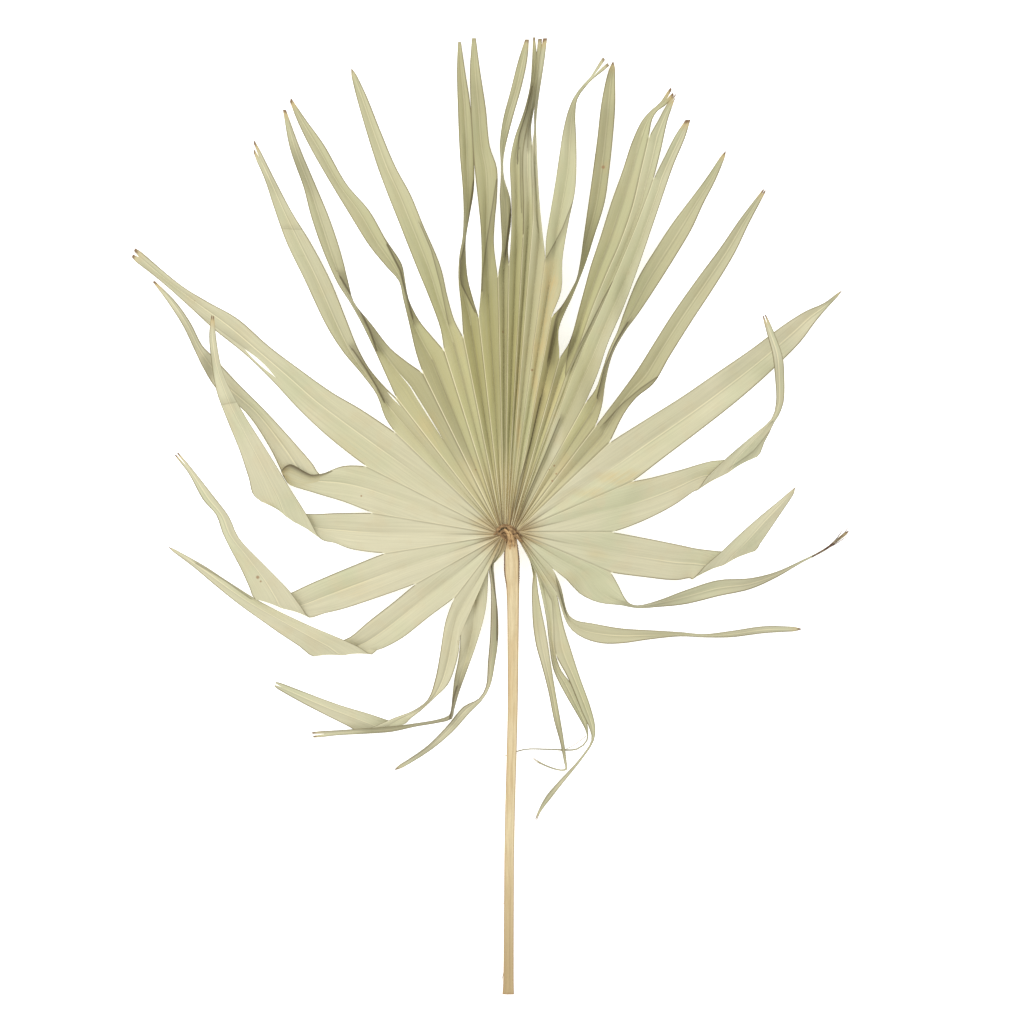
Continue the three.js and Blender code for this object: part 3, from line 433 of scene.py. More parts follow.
class Shader:
    """One material's nodes: a Principled shader, and the calls that add nodes in front of it."""

    def __init__(self, name: str, **constants: object) -> None:
        """Makes the material.

        Args:
            name: the material's name.
            constants: values for the Principled shader's own sockets, with _ for a space.
        """
        self.material = bpy.data.materials.new(name)
        self.material.use_nodes = True
        self.tree = self.material.node_tree
        self.tree.nodes.clear()
        sockets = {key.replace("_", " "): value for key, value in constants.items()}
        self.surface = self.node("ShaderNodeBsdfPrincipled", {}, sockets)
        self.node("ShaderNodeOutputMaterial", {}, {"Surface": self.surface.outputs["BSDF"]})

    def node(self, kind: str, settings: dict, links: dict) -> bpy.types.Node:
        """Adds one node.

        Args:
            kind: the node's type.
            settings: its properties, set before its sockets.
            links: values, sockets or fields for its input sockets, by name or number.

        Returns:
            The new node.
        """
        made = self.tree.nodes.new(kind)
        for key, value in settings.items():
            setattr(made, key, value)
        for key, value in links.items():
            self.feed(self._input(made, key), value)
        return made

    @staticmethod
    def _input(made: bpy.types.Node, key: object) -> bpy.types.NodeSocket:
        """Finds one of a node's inputs.

        Args:
            made: the node.
            key: the input's number, its identifier or its name.

        Returns:
            The input socket.
        """
        if isinstance(key, int):
            return made.inputs[key]
        by_identifier = [socket for socket in made.inputs if socket.identifier == key]
        return by_identifier[0] if by_identifier else made.inputs[key]

    def feed(self, target: bpy.types.NodeSocket, value: object) -> None:
        """Links a field or socket to an input, or sets the input's own value.

        Args:
            target: the input.
            value: a field, a socket, a number or a tuple. A colour may leave out its fourth number.
        """
        if isinstance(value, Field):
            value = value.socket
        if isinstance(value, bpy.types.NodeSocket):
            self.tree.links.new(value, target)
        elif isinstance(value, tuple) and len(target.default_value) == len(value) + 1:
            target.default_value = (*value, 1)
        else:
            target.default_value = value

    def blend(self, low: object, high: object, share: object, mode: str = "MIX") -> bpy.types.NodeSocket:
        """Mixes two colours.

        Args:
            low: the colour at a share of 0.
            high: the colour at a share of 1, or what low is multiplied by in the mode MULTIPLY.
            share: a number or a field.
            mode: the Mix node's blend type.

        Returns:
            The mixed colour.
        """
        made = self.node("ShaderNodeMix", {"data_type": "RGBA", "blend_type": mode},
                         {"Factor_Float": share, "A_Color": low, "B_Color": high})
        return next(output for output in made.outputs if output.identifier == "Result_Color")

    def shade(self, colour: object, factor: Field) -> bpy.types.NodeSocket:
        """A colour multiplied by a grey factor."""
        grey = self.node("ShaderNodeCombineColor", {}, {0: factor, 1: factor, 2: factor})
        return self.blend(colour, grey.outputs[0], 1.0, "MULTIPLY")

    def attribute(self, name: str) -> tuple[Field, Field, Field]:
        """Reads a vector attribute of the mesh.

        Args:
            name: the attribute's name.

        Returns:
            Its three numbers.
        """
        read = self.node("ShaderNodeAttribute", {"attribute_name": name}, {})
        split = self.node("ShaderNodeSeparateXYZ", {}, {0: read.outputs["Vector"]})
        return tuple(Field(self, output) for output in split.outputs)

    def place(self) -> bpy.types.NodeSocket:
        """The object's own coordinates, in metres."""
        return self.node("ShaderNodeTexCoord", {}, {}).outputs["Object"]

    def vector(self, x: object, y: object, z: object) -> bpy.types.NodeSocket:
        """A vector of three numbers or fields."""
        return self.node("ShaderNodeCombineXYZ", {}, {0: x, 1: y, 2: z}).outputs[0]

    def stretch(self, vector: object, factors: tuple) -> bpy.types.NodeSocket:
        """A vector with each of its parts scaled."""
        made = self.node("ShaderNodeVectorMath", {"operation": "MULTIPLY"}, {0: vector, 1: factors})
        return made.outputs[0]

    def distance(self, vector: object, centre: tuple) -> Field:
        """How far a vector lies from a fixed place."""
        made = self.node("ShaderNodeVectorMath", {"operation": "DISTANCE"}, {0: vector, 1: centre})
        return Field(self, made.outputs["Value"])

    def noise(self, vector: object, scale: float = 1.0, detail: float = 3.0) -> Field:
        """Cloudy noise from 0 to 1."""
        made = self.node("ShaderNodeTexNoise", {}, {"Vector": vector, "Scale": scale, "Detail": detail})
        return Field(self, made.outputs[0])

    def chance(self, vector: object) -> Field:
        """A number from 0 to 1 that differs at random from one vector to the next."""
        made = self.node("ShaderNodeTexWhiteNoise", {"noise_dimensions": "3D"}, {"Vector": vector})
        return Field(self, made.outputs["Value"])

    def dress(self, colour: object, roughness: object, height: Field, relief: float) -> None:
        """Feeds the shader its colour, its roughness and a bump.

        Args:
            colour: the base colour.
            roughness: a number or a field.
            height: the bump's height, from 0 to 1.
            relief: the bump's depth in metres.
        """
        bump = self.node("ShaderNodeBump", {}, {"Height": height, "Distance": relief, "Strength": 1.0})
        self.feed(self.surface.inputs["Base Color"], colour)
        self.feed(self.surface.inputs["Roughness"], roughness)
        self.feed(self.surface.inputs["Normal"], bump.outputs[0])


@dataclass
class Coat:
    """A colour that is painted over, layer by layer.

    Attributes:
        shader: the shader whose nodes do the painting.
        colour: what shows so far.
    """

    shader: Shader
    colour: object

    def over(self, paint: object, share: object) -> None:
        """Covers a share of it with another colour."""
        self.colour = self.shader.blend(self.colour, paint, share)

    def shade(self, factor: Field) -> None:
        """Multiplies it by a grey factor."""
        self.colour = self.shader.shade(self.colour, factor)


class TissueCoat(Coat):
    """The blade's coat, with what its finish reads of the mesh.

    The mesh holds four vectors. strip is the distance from the midrib, from the hub and from the
    tip, in millimetres. lay is the half width there, the segment's own number, and how strong the
    painted shade beside a held seam is, or FREE_EDGE. tint is how olive and how stained the tissue
    is, and how dark the painted shade on it is. fold is the distance to a fold, the strength of the
    painted shade line along it, and how dry the tip is.
    """

    def __init__(self, shader: Shader, finish: "LeafTissue") -> None:
        """Reads the vectors, and makes the noises that follow the segments.

        Args:
            shader: the shader whose nodes do the painting.
            finish: the sizes and spans of the finish.
        """
        super().__init__(shader, None)
        self.across, self.along, self.to_tip = shader.attribute("strip")
        half, self.number, self.crease_shade = shader.attribute("lay")
        self.olive, self.stain, self.dark = shader.attribute("tint")
        self.fold, self.bent, self.dry = shader.attribute("fold")
        self.place = shader.place()
        self.side = self.across.rise(-0.02, 0.02)
        share = self.across / half.most(0.2)
        reach = half.most(finish.narrowest)
        self.midrib = abs(share) * reach
        self.edge = reach - self.midrib
        self.near = self.along.rise(*finish.near_span)
        self.deep = self.olive.rise(*finish.deep_span)
        self.patches = shader.noise(self.place, finish.patch_scale)
        self.streaks = self.grain(self.across * 0.5, 0.011, 5.3, 3.0)
        self.veins = self.grain(self.across * 2.3, 0.02, 3.1, 2.0)
        self.ray = self.grain(share * 1.5, 0.04, 9.7, 3.0)
        self.own = shader.chance(shader.vector(self.number, self.side, 0.5))
        self.hub = (self.along + self.ray * finish.hub_rays).rise(*finish.hub_span)

    def grain(self, across: Field, along: float, apart: float, detail: float) -> Field:
        """Noise that is drawn out along the segments and differs from one to the next.

        Args:
            across: the place across the segment, as fine as the noise is to be.
            along: how fine the noise is along the segment.
            apart: how far one segment's noise lies from the next one's.
            detail: the noise's detail.

        Returns:
            The noise, from 0 to 1.
        """
        place = self.shader.vector(across, self.along * along, self.number * apart)
        return self.shader.noise(place, 1.0, detail)


@dataclass(frozen=True)
class LeafTissue:
    """The blade's finish: straw to olive tissue with fine veins, ribs, stains and dry tips, with painted
    highlights on seam crests and painted shade in its creases, folds and twists.

    A span says where a smooth step is 0 and where it is 1, in millimetres unless it says otherwise.

    Attributes:
        straw: the tissue's main colour.
        green: its greener clouds.
        blush: its warmer patches.
        olive: the dark tissue of the fan's middle.
        cool: grey-green patches.
        rib: pale ribs, and crests that catch the light.
        crease_shade: the painted shade beside a seam, in a midrib's valley and along a fold.
        dusk: the painted shade at a twist and in the shade patches.
        rim: the thin dark outline of a free edge.
        sage: the olive tissue further out.
        tan: stains, and the skin before a dry tip.
        gold: the warm band round the hub.
        ochre: the hub's own colour.
        brown: dry streaks round the hub.
        soot: its darkest streaks.
        rust: small specks.
        tip: the dry end of a tip.
        narrowest: the least half width that lines are drawn for.
        cloud_scale: how many clouds there are to a metre.
        patch_scale: how many patches there are to a metre.
        near_span: where the painted shade in the pleats darkens towards the hub.
        deep_span: how olive a segment is that counts as the fan's pleated middle.
        sage_span: where olive turns to sage.
        pleated_span: where the middle's pleats differ most in tone.
        hub_span: the hub, seen from further out.
        hub_rays: how far the hub's rays reach.
        band_span: the warm band, seen from further out.
        band_rays: how far the band's rays reach.
        rib_span: where the midribs start to show.
        crest_span: a seam's lit crest, measured from the edge.
        shadow_span: the shadow beside it.
        valley_span: the painted shade in the valley along a midrib.
        lit_span: the pale line along a midrib.
        beside: how far beside the midrib a faint second line runs.
        rim_span: a free edge's outline.
        line_span: the painted shade line along a fold, in widths of that line.
        lee_span: the shade on one side of a fold, in the same way.
        worn_span: a tip's tan skin.
        burnt_span: its dark end.
        ragged: how unevenly a tip has dried.
        specks: each speck's board X and Y and its radius.
    """

    straw: tuple = (0.552, 0.518, 0.350)
    green: tuple = (0.485, 0.485, 0.305)
    blush: tuple = (0.540, 0.478, 0.305)
    olive: tuple = (0.345, 0.316, 0.118)
    cool: tuple = (0.360, 0.362, 0.205)
    rib: tuple = (0.800, 0.725, 0.460)
    # Colour of the painted shade beside seams, in midrib valleys and along folds.
    crease_shade: tuple = (0.080, 0.058, 0.024)
    dusk: tuple = (0.125, 0.110, 0.046)
    rim: tuple = (0.165, 0.132, 0.060)
    sage: tuple = (0.405, 0.402, 0.240)
    tan: tuple = (0.500, 0.385, 0.180)
    gold: tuple = (0.520, 0.430, 0.180)
    ochre: tuple = (0.520, 0.360, 0.155)
    brown: tuple = (0.170, 0.100, 0.040)
    soot: tuple = (0.085, 0.045, 0.020)
    rust: tuple = (0.270, 0.140, 0.060)
    tip: tuple = (0.165, 0.085, 0.040)
    narrowest: float = 4.0
    cloud_scale: float = 13.0
    patch_scale: float = 48.0
    near_span: tuple = (80, 20)
    deep_span: tuple = (0.15, 0.75)
    sage_span: tuple = (170, 300)
    pleated_span: tuple = (310, 150)
    hub_span: tuple = (54, 20)
    hub_rays: float = 26
    band_span: tuple = (125, 45)
    band_rays: float = 40
    rib_span: tuple = (95, 175)
    crest_span: tuple = (1.3, 0.35)
    shadow_span: tuple = (2.2, 0.6)
    valley_span: tuple = (1.3, 0.2)
    lit_span: tuple = (0.7, 0.25)
    beside: float = 1.3
    rim_span: tuple = (1.7, 0.1)
    line_span: tuple = (1.1, 0.2)
    lee_span: tuple = (8, 0.5)
    worn_span: tuple = (15, 4)
    burnt_span: tuple = (5.5, 1.5)
    ragged: float = 7
    specks: tuple = (
        (503, 333, 1.5), (532, 371, 1.5), (259, 577, 2.4), (262, 581, 1.6), (603, 168, 2.4),
        (195, 301, 1.0), (362, 496, 0.9), (371, 73, 1.0), (476, 470, 1.2), (554, 466, 1.4),
        (556, 474, 1.6), (552, 481, 1.2), (549, 470, 1.0),
    )

    def build(self) -> bpy.types.Material:
        """Makes the material.

        Returns:
            The finished material.
        """
        shader = Shader("leaf_tissue", Roughness=0.6, Specular_IOR_Level=0.3)
        coat = TissueCoat(shader, self)
        self.ground(coat)
        self.warm_hub(coat)
        self.pleats(coat)
        self.folds(coat)
        coat.over(self.brown, coat.hub * coat.own.rise(0.45, 0.85) * 0.6)
        coat.over(self.soot, coat.hub * coat.ray.rise(0.5, 0.62) * (coat.deep * 0.3 + 0.55))
        self.speckle(coat)
        self.dry_tip(coat)
        shader.dress(coat.colour, coat.patches * 0.12 + 0.52, coat.veins * 0.6 + coat.streaks * 0.4, 0.0003)
        return shader.material

    def ground(self, coat: TissueCoat) -> None:
        """Paints the tissue's own colours, its stains and its veins.

        Args:
            coat: the coat to paint.
        """
        clouds = coat.shader.noise(coat.place, self.cloud_scale)
        greener = (clouds * 0.9 + coat.own * 0.22).rise(0.44, 0.84)
        coat.colour = coat.shader.blend(self.straw, self.green, greener)
        coat.over(self.blush, coat.patches.rise(0.48, 0.72) * 0.5)
        pale = coat.along.rise(*self.sage_span) * (1 - coat.deep * 0.65)
        coat.over(coat.shader.blend(self.olive, self.sage, pale), coat.olive * (coat.streaks * 0.5 + 0.74))
        coat.over(self.cool, (0 - coat.olive).rise(0, 1) * 0.9)
        coat.over(self.tan, coat.stain * (coat.patches * 0.6 + coat.streaks * 0.6).rise(0.35, 0.8))
        pleated = coat.deep * coat.along.rise(*self.pleated_span)
        tone = coat.veins * 0.34 + coat.streaks * 0.2 + coat.own * (pleated * 0.28 + 0.07)
        coat.shade(tone - pleated * 0.13 + 0.71)

    def warm_hub(self, coat: TissueCoat) -> None:
        """Paints the ochre hub, and round it the warm band with its brown and its pale pleats.

        Args:
            coat: the coat to paint.
        """
        coat.over(self.ochre, coat.hub * 0.7)
        band = (coat.along + coat.ray * self.band_rays).rise(*self.band_span) * coat.deep
        coat.over(self.gold, band * 0.6)
        coat.over(self.brown, band * coat.own.rise(0.55, 0.8) * (coat.ray * 0.8 + 0.3))
        coat.over(self.rib, band * coat.own.rise(0.5, 0.2) * 0.6)

    def pleats(self, coat: TissueCoat) -> None:
        """Paints the lines at the seams, along the midribs and round the free edges, with painted highlight
        and shade.

        Args:
            coat: the coat to paint.
        """
        free = coat.crease_shade.rise(-0.2, -0.9)
        held = 1 - free
        # Painted highlight on one side of a held seam's crest, and painted shadow on its other side.
        crest = coat.edge.rise(*self.crest_span) * (1 - coat.side * 0.8)
        coat.over(self.rib, crest * held * (coat.deep * 0.55 + 0.25))
        shadow = (coat.edge - 0.1).rise(*self.shadow_span) * coat.side
        coat.over(self.crease_shade, shadow * held * coat.crease_shade * (coat.ray * 0.5 + coat.near * 0.3 + 0.34))
        # Painted shade in the valley along a midrib, deeper near the hub and in the fan's middle.
        dark = coat.near * (0.6 - coat.deep * 0.3) + coat.deep * 0.45
        coat.over(self.crease_shade, coat.midrib.rise(*self.valley_span) * dark * (1 - free * 0.8))
        ribbed = coat.along.rise(*self.rib_span)
        lit = coat.midrib.rise(*self.lit_span) * ribbed * (0.6 - coat.deep * 0.42)
        coat.over(self.rib, lit * coat.to_tip.rise(4, 30) * (coat.streaks * 0.9 + 0.35))
        second = (coat.across - self.beside).rise(-0.6, 0) * (coat.across - self.beside).rise(1.2, 0.2)
        coat.shade(1 - second * ribbed * 0.16)
        outline = coat.edge.rise(*self.rim_span) * free
        coat.over(self.rim, outline * (coat.streaks * 0.6 + coat.side * 0.25 + 0.42))

    def folds(self, coat: TissueCoat) -> None:
        """Paints shade: at the twists and in the shade patches, as a line along each fold, and on the
        fold's one side.

        Args:
            coat: the coat to paint.
        """
        coat.over(self.dusk, coat.dark)
        line = abs(coat.fold).rise(*self.line_span) * 0.85
        lee = coat.fold.rise(*self.lee_span) * coat.fold.rise(-0.2, 0.3) * 0.42
        coat.over(self.crease_shade, line.most(lee) * coat.bent)

    def speckle(self, coat: TissueCoat) -> None:
        """Paints the specks.

        Args:
            coat: the coat to paint.
        """
        flat = coat.shader.stretch(coat.place, (1, 1, 0))
        ragged = (coat.patches - 0.5) * 0.002
        for x, y, radius in self.specks:
            away = coat.shader.distance(flat, tuple(on_board(x, y, 0) * MM)) + ragged
            coat.over(self.rust, away.rise(radius * MM, radius * 0.3 * MM) * 0.75)

    def dry_tip(self, coat: TissueCoat) -> None:
        """Paints the dry tips.

        Args:
            coat: the coat to paint.
        """
        worn = coat.to_tip + (coat.streaks - 0.5) * self.ragged
        coat.over(self.tan, worn.rise(*self.worn_span) * coat.dry.rise(0.1, 1.2) * 0.8)
        coat.over(self.tip, worn.rise(*self.burnt_span) * coat.dry.rise(0, 0.8) * 0.9)


@dataclass(frozen=True)
class StalkFibre:
    """The petiole's finish: smooth tan fibre, pale on its flanks, brown at both ends.

    It reads one vector of the mesh, strip: the place across from -1 to 1, the distance from the
    head in millimetres, and how close it is to a toothed margin. The scales say how many waves
    each noise has to a metre along X, Y and Z.

    Attributes:
        tan: the fibre's main colour.
        pale: its lighter clouds and its right flank.
        brown: the margins, the cut end and dark grit.
        orange: the head.
        dull: the lower part.
        green: faint patches below the head.
        bark: the toothed margins.
        fibre_scale: of the fine lengthwise fibres.
        cloud_scale: of the soft clouds.
        grit_scale: of the grit.
    """

    tan: tuple = (0.570, 0.430, 0.225)
    pale: tuple = (0.670, 0.565, 0.345)
    brown: tuple = (0.300, 0.165, 0.070)
    orange: tuple = (0.560, 0.330, 0.130)
    dull: tuple = (0.400, 0.290, 0.140)
    green: tuple = (0.500, 0.470, 0.200)
    bark: tuple = (0.110, 0.055, 0.028)
    fibre_scale: tuple = (1100, 9, 1100)
    cloud_scale: tuple = (90, 18, 90)
    grit_scale: tuple = (700, 420, 700)

    def build(self) -> bpy.types.Material:
        """Makes the material.

        Returns:
            The finished material.
        """
        shader = Shader("stalk_fibre", Roughness=0.5, Specular_IOR_Level=0.35)
        place = shader.place()
        fibres = shader.noise(shader.stretch(place, self.fibre_scale))
        clouds = shader.noise(shader.stretch(place, self.cloud_scale))
        grit = shader.noise(shader.stretch(place, self.grit_scale), detail=2.0)
        side, down, margin = shader.attribute("strip")
        lighter = (clouds * 0.7 + fibres * 0.45).rise(0.35, 0.8)
        coat = Coat(shader, shader.blend(self.tan, self.pale, lighter))
        coat.over(self.pale, side.rise(0.35, 0.7) * down.rise(120, 260) * 0.7)
        coat.over(self.green, (clouds * down.rise(90, 8)).rise(0.5, 0.8) * 0.5)
        coat.over(self.orange, down.rise(30, 10) * 0.75)
        coat.over(self.dull, (down + clouds * 60).rise(330, 490) * 0.8)
        coat.over(self.brown, abs(side).rise(0.74, 0.95) * (0.42 + grit * 0.5))
        coat.over(self.bark, margin * (grit * 0.6 + 0.55))
        coat.shade(fibres * 0.3 + grit * 0.14 + 0.77)
        coat.over(self.brown, grit.rise(0.68, 0.78) * 0.5)
        coat.over(self.brown, (down + clouds * 3).rise(468, 471.5) * 0.8)
        shader.dress(coat.colour, clouds * 0.2 + 0.42, fibres, 0.0003)
        return shader.material


@dataclass(frozen=True)
class CrestFibre:
    """The finish of the hastula, the teeth and the loose threads: dry brown fibre.

    Attributes:
        name: the material's name.
        light: its light clumps.
        dark: its dark clumps.
        clump_scale: how many clumps there are to a metre along X, Y and Z.
        grain_scale: how fine its grain is, in the same way.
    """

    name: str = "crest_fibre"
    light: tuple = (0.430, 0.275, 0.130)
    dark: tuple = (0.090, 0.048, 0.022)
    clump_scale: tuple = (260, 420, 260)
    grain_scale: tuple = (1500, 500, 1500)

    def build(self) -> bpy.types.Material:
        """Makes the material.

        Returns:
            The finished material.
        """
        shader = Shader(self.name, Roughness=0.75, Specular_IOR_Level=0.2)
        place = shader.place()
        clumps = shader.noise(shader.stretch(place, self.clump_scale), detail=4.0)
        grain = shader.noise(shader.stretch(place, self.grain_scale))
        colour = shader.blend(self.dark, self.light, (clumps * 0.8 + grain * 0.3).rise(0.3, 0.75))
        shader.dress(colour, clumps * 0.15 + 0.7, grain * 0.6 + clumps * 0.4, 0.0005)
        return shader.material


@dataclass(frozen=True)
class FloorPaint:
    """The finish of the pale floor, which glows faintly as a light table does.

    Attributes:
        white: the floor's colour.
        glow: the strength of its own light.
    """

    white: tuple = (0.90, 0.90, 0.90)
    glow: float = 0.62

    def build(self) -> bpy.types.Material:
        """Makes the material.

        Returns:
            The finished material.
        """
        shader = Shader("floor_paint", Roughness=0.9, Specular_IOR_Level=0.1, Emission_Color=self.white,
                        Emission_Strength=self.glow)
        clouds = shader.noise(shader.place(), 2.0, 2.0)
        shader.dress(shader.shade(self.white, clouds * 0.02 + 0.98), 0.9, clouds, 0.0001)
        return shader.material


def make_object(name: str, points: np.ndarray, faces: list,
                material: bpy.types.Material) -> bpy.types.Object:
    """Makes a mesh object at the origin, smooth but for its sharp corners.

    Args:
        name: the piece's name.
        points: its vertices in millimetres.
        faces: its faces as tuples of vertex numbers.
        material: its finish.

    Returns:
        The new object.
    """
    mesh = bpy.data.meshes.new(name)
    mesh.from_pydata((np.asarray(points) * MM).tolist(), [], [tuple(map(int, face)) for face in faces])
    mesh.validate()
    mesh.shade_smooth()
    mesh.set_sharp_from_angle(angle=math.radians(SHARP_CORNER))
    mesh.materials.append(material)
    made = bpy.data.objects.new(name, mesh)
    bpy.context.scene.collection.objects.link(made)
    return made


def write_vectors(mesh: bpy.types.Mesh, name: str, domain: str, values: np.ndarray) -> None:
    """Stores one vector for each point or corner of a mesh."""
    layer = mesh.attributes.new(name, "FLOAT_VECTOR", domain)
    layer.data.foreach_set("vector", np.asarray(values, dtype=np.float32).ravel())


def install(made: bpy.types.Object, slot: Slot, *nodes: str) -> None:
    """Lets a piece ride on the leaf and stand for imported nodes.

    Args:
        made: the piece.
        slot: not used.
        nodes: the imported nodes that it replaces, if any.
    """
    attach(made, "root")
    if nodes:
        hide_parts(*nodes)
    log.info("%s: %d vertices, %d faces", made.name, len(made.data.vertices), len(made.data.polygons))


@dataclass
class Blade:
    """The pleated fan: one closed sheet of segments that share their seams near the hub.

    Attributes:
        thickness: of the tissue, in millimetres, as all sizes here.
        fading: how far past its ends a fold's shadow fades.
        ring: the middle on the board, half width, half depth and height of the ring that the
            pleats start from.
        turn: the angles of the first and the last seam on the ring.
        bulges: how far the palm's two free edges bulge to the right between ring and seam's end.
        palm_rows: rows from the ring to the seams' ends.
        crowding: the power that draws those rows together near the hub.
        sag: the power that keeps the palm high near the ring.
        row_step: about how far apart the free rows lie.
        shared_steps: rows to a station where two segments hold together.
        arch: how far each half of a segment is arched, as a share of its width.
        rib: how far the midrib stands out of its valley.
        cockle: the height of the gentle waves in the tissue.
        flatten: the share that is left of a pleat deeper than the first number.
        steepest: the least share of the thickness that an offset keeps at a sharp fold.
        halves: places of the columns from an edge to the midrib.
        twists: the segments that get painted shade where they twist to a narrow neck, and how much.
        stains: patches on the board as X, Y, half width, half height and strength.
        cools: grey-green patches, in the same way.
        shades: patches of painted shade, in the same way.
        folds: painted shade lines on one segment, along its folds and twists, as its number, the
        line's strength and width, and X and Y of each of its points.
    """

    thickness: float = 0.36
    fading: float = 9.0
    ring: tuple = (508.8, 533.0, 9.0, 4.6, 27.0)
    turn: tuple = (246, -42)
    bulges: tuple = (5.2, 3.6)
    palm_rows: int = 36
    crowding: float = 1.4
    sag: float = 1.25
    row_step: float = 6.2
    shared_steps: int = 6
    arch: float = 0.05
    rib: float = 0.28
    cockle: float = 0.35
    flatten: tuple = (4.0, 0.45)
    steepest: float = 0.4
    halves: tuple = (0, 0.06, 0.18, 0.34, 0.5, 0.66, 0.82, 0.94, 1)
    twists: tuple = (
        (0, 0.5), (1, 0.8), (6, 0.3), (8, 0.9), (9, 0.8), (10, 0.9), (12, 0.9), (13, 0.4), (14, 0.8),
        (15, 0.5),
        (16, 0.6), (17, 0.6), (18, 0.35), (19, 0.9), (23, 0.9), (24, 0.6), (26, 0.3), (28, 0.4), (29, 0.5),
        (30, 0.4), (31, 0.5),
    )
    stains: tuple = (
        (330, 452, 40, 14, 0.45), (360, 588, 30, 12, 0.3), (230, 560, 22, 10, 0.25), (622, 478, 34, 9, 0.7),
        (590, 492, 22, 7, 0.5), (535, 380, 4, 60, 0.7), (549, 288, 12, 32, 0.8),
        (543, 335, 9, 40, 0.75), (518, 420, 3, 70, 0.7),
        (430, 430, 22, 22, 0.3), (300, 484, 10, 9, 0.5), (420, 640, 8, 20, 0.35),
        (562, 465, 10, 14, 0.5), (548, 400, 16, 50, 0.3),
        (604, 400, 16, 12, 0.3), (488, 524, 17, 8, 0.9), (560, 577, 30, 8, 0.35), (604, 168, 6, 6, 0.5),
        (470, 470, 12, 16, 0.4), (600, 556, 16, 6, 0.35), (511, 498, 10, 36, 0.9),
    )
    cools: tuple = (
        (555, 440, 9, 34, 0.35), (600, 330, 14, 40, 0.2), (532, 145, 14, 60, 0.2), (543, 645, 8, 50, 0.25),
        (745, 375, 44, 26, 0.9), (815, 306, 30, 18, 0.9), (600, 480, 30, 14, 0.4),
    )
    shades: tuple = (
        (425, 706, 20, 12, 0.35), (350, 729, 60, 6, 0.3), (452, 702, 8, 24, 0.45), (428, 752, 30, 12, 0.25),
        (562, 738, 9, 36, 0.35), (546, 796, 16, 26, 0.3), (700, 602, 60, 7, 0.22), (690, 634, 60, 5, 0.3),
        (530, 110, 14, 44, 0.3), (466, 235, 9, 50, 0.22), (536, 168, 7, 30, 0.15), (590, 398, 10, 22, 0.2),
        (574, 345, 9, 26, 0.3), (552, 360, 7, 36, 0.3), (208, 368, 10, 22, 0.5), (572, 592, 12, 22, 0.2),
        (497, 640, 6, 60, 0.3), (470, 640, 8, 26, 0.12), (540, 752, 52, 5, 0.85),
        (548, 766, 16, 8, 0.5), (620, 302, 8, 44, 0.15), (500, 230, 7, 50, 0.2),
        (832, 298, 14, 9, 0.3), (775, 374, 22, 16, 0.14), (607, 120, 10, 60, 0.1), (582, 92, 13, 13, 0.3),
    )
    folds: tuple = (
        (0, 0.85, 1.3, (491, 563), (494, 585), (497, 604), (497, 640)),
        (1, 0.9, 1.6, (458, 684), (453, 700), (450, 720)),
        (3, 0.6, 1.3, (196, 563), (225, 580), (252, 599)),
        (5, 0.3, 1.3, (226, 405), (238, 403)),
        (7, 0.3, 0.8, (140, 262), (195, 312), (248, 350)),
        (8, 0.9, 1.5, (352, 348), (367, 370), (376, 385), (386, 404)),
        (8, 0.28, 0.8, (282, 229), (304, 230)),
        (9, 0.95, 1.7, (340, 276), (361, 312), (371, 332), (378, 353)),
        (10, 0.95, 1.7, (387, 244), (401, 272), (405, 288), (414, 322)),
        (11, 0.7, 0.9, (421, 226), (432, 252), (441, 286), (449, 325)),
        (12, 0.85, 1.3, (474, 180), (466, 242), (461, 262), (461, 284), (476, 314)),
        (13, 0.7, 1.1, (497, 180), (486, 250), (483, 275), (482, 296)),
        (14, 1.0, 1.4, (512, 200), (508.5, 230), (505, 260)),
        (15, 0.8, 1.0, (532, 88), (526.5, 113), (519, 138), (517, 165)),
        (15, 0.6, 0.9, (520, 150), (520.5, 185), (521.5, 215)),
        (16, 0.7, 0.8, (532, 108), (529, 130), (527, 152)),
        (18, 0.75, 0.9, (576, 195), (562, 231), (546, 260)),
        (19, 0.85, 2.0, (564, 301), (556, 320), (551, 345), (548, 362)),
        (19, 0.9, 0.9, (541, 395), (531, 441), (520, 480), (514, 508)),
        (20, 0.8, 0.9, (571, 338), (568, 352), (565, 376)),
        (21, 0.8, 1.0, (614, 280), (603, 300), (590, 326), (578, 349), (567, 372)),
        (22, 0.85, 0.9, (560, 418), (545, 455), (525.5, 500), (519, 516)),
        (23, 0.95, 1.2, (628, 322), (614, 345), (604, 368), (596, 400)),
        (24, 0.75, 1.1, (659, 376), (640, 389), (620, 406), (602, 426)),
        (26, 0.5, 1.0, (771, 428), (752, 452), (732, 466)),
        (29, 0.8, 1.3, (556, 578), (562, 600), (566, 615)),
    )

    def ring_point(self, index: int) -> np.ndarray:
        """Finds where a seam meets the ring.

        Args:
            index: the seam's number.

        Returns:
            The place.
        """
        share = index / len(SEGMENTS)
        angle = math.radians(self.turn[0] + (self.turn[1] - self.turn[0]) * share)
        x, y, half_width, half_depth, height = self.ring
        reach = np.array([half_width * math.cos(angle), half_depth * math.sin(angle), 0])
        return on_board(x, y, height) + reach

    def shares(self) -> np.ndarray:
        """How far out each palm row lies, from 0 at the ring to 1 at the seams' ends."""
        return (np.arange(self.palm_rows + 1) / self.palm_rows) ** self.crowding

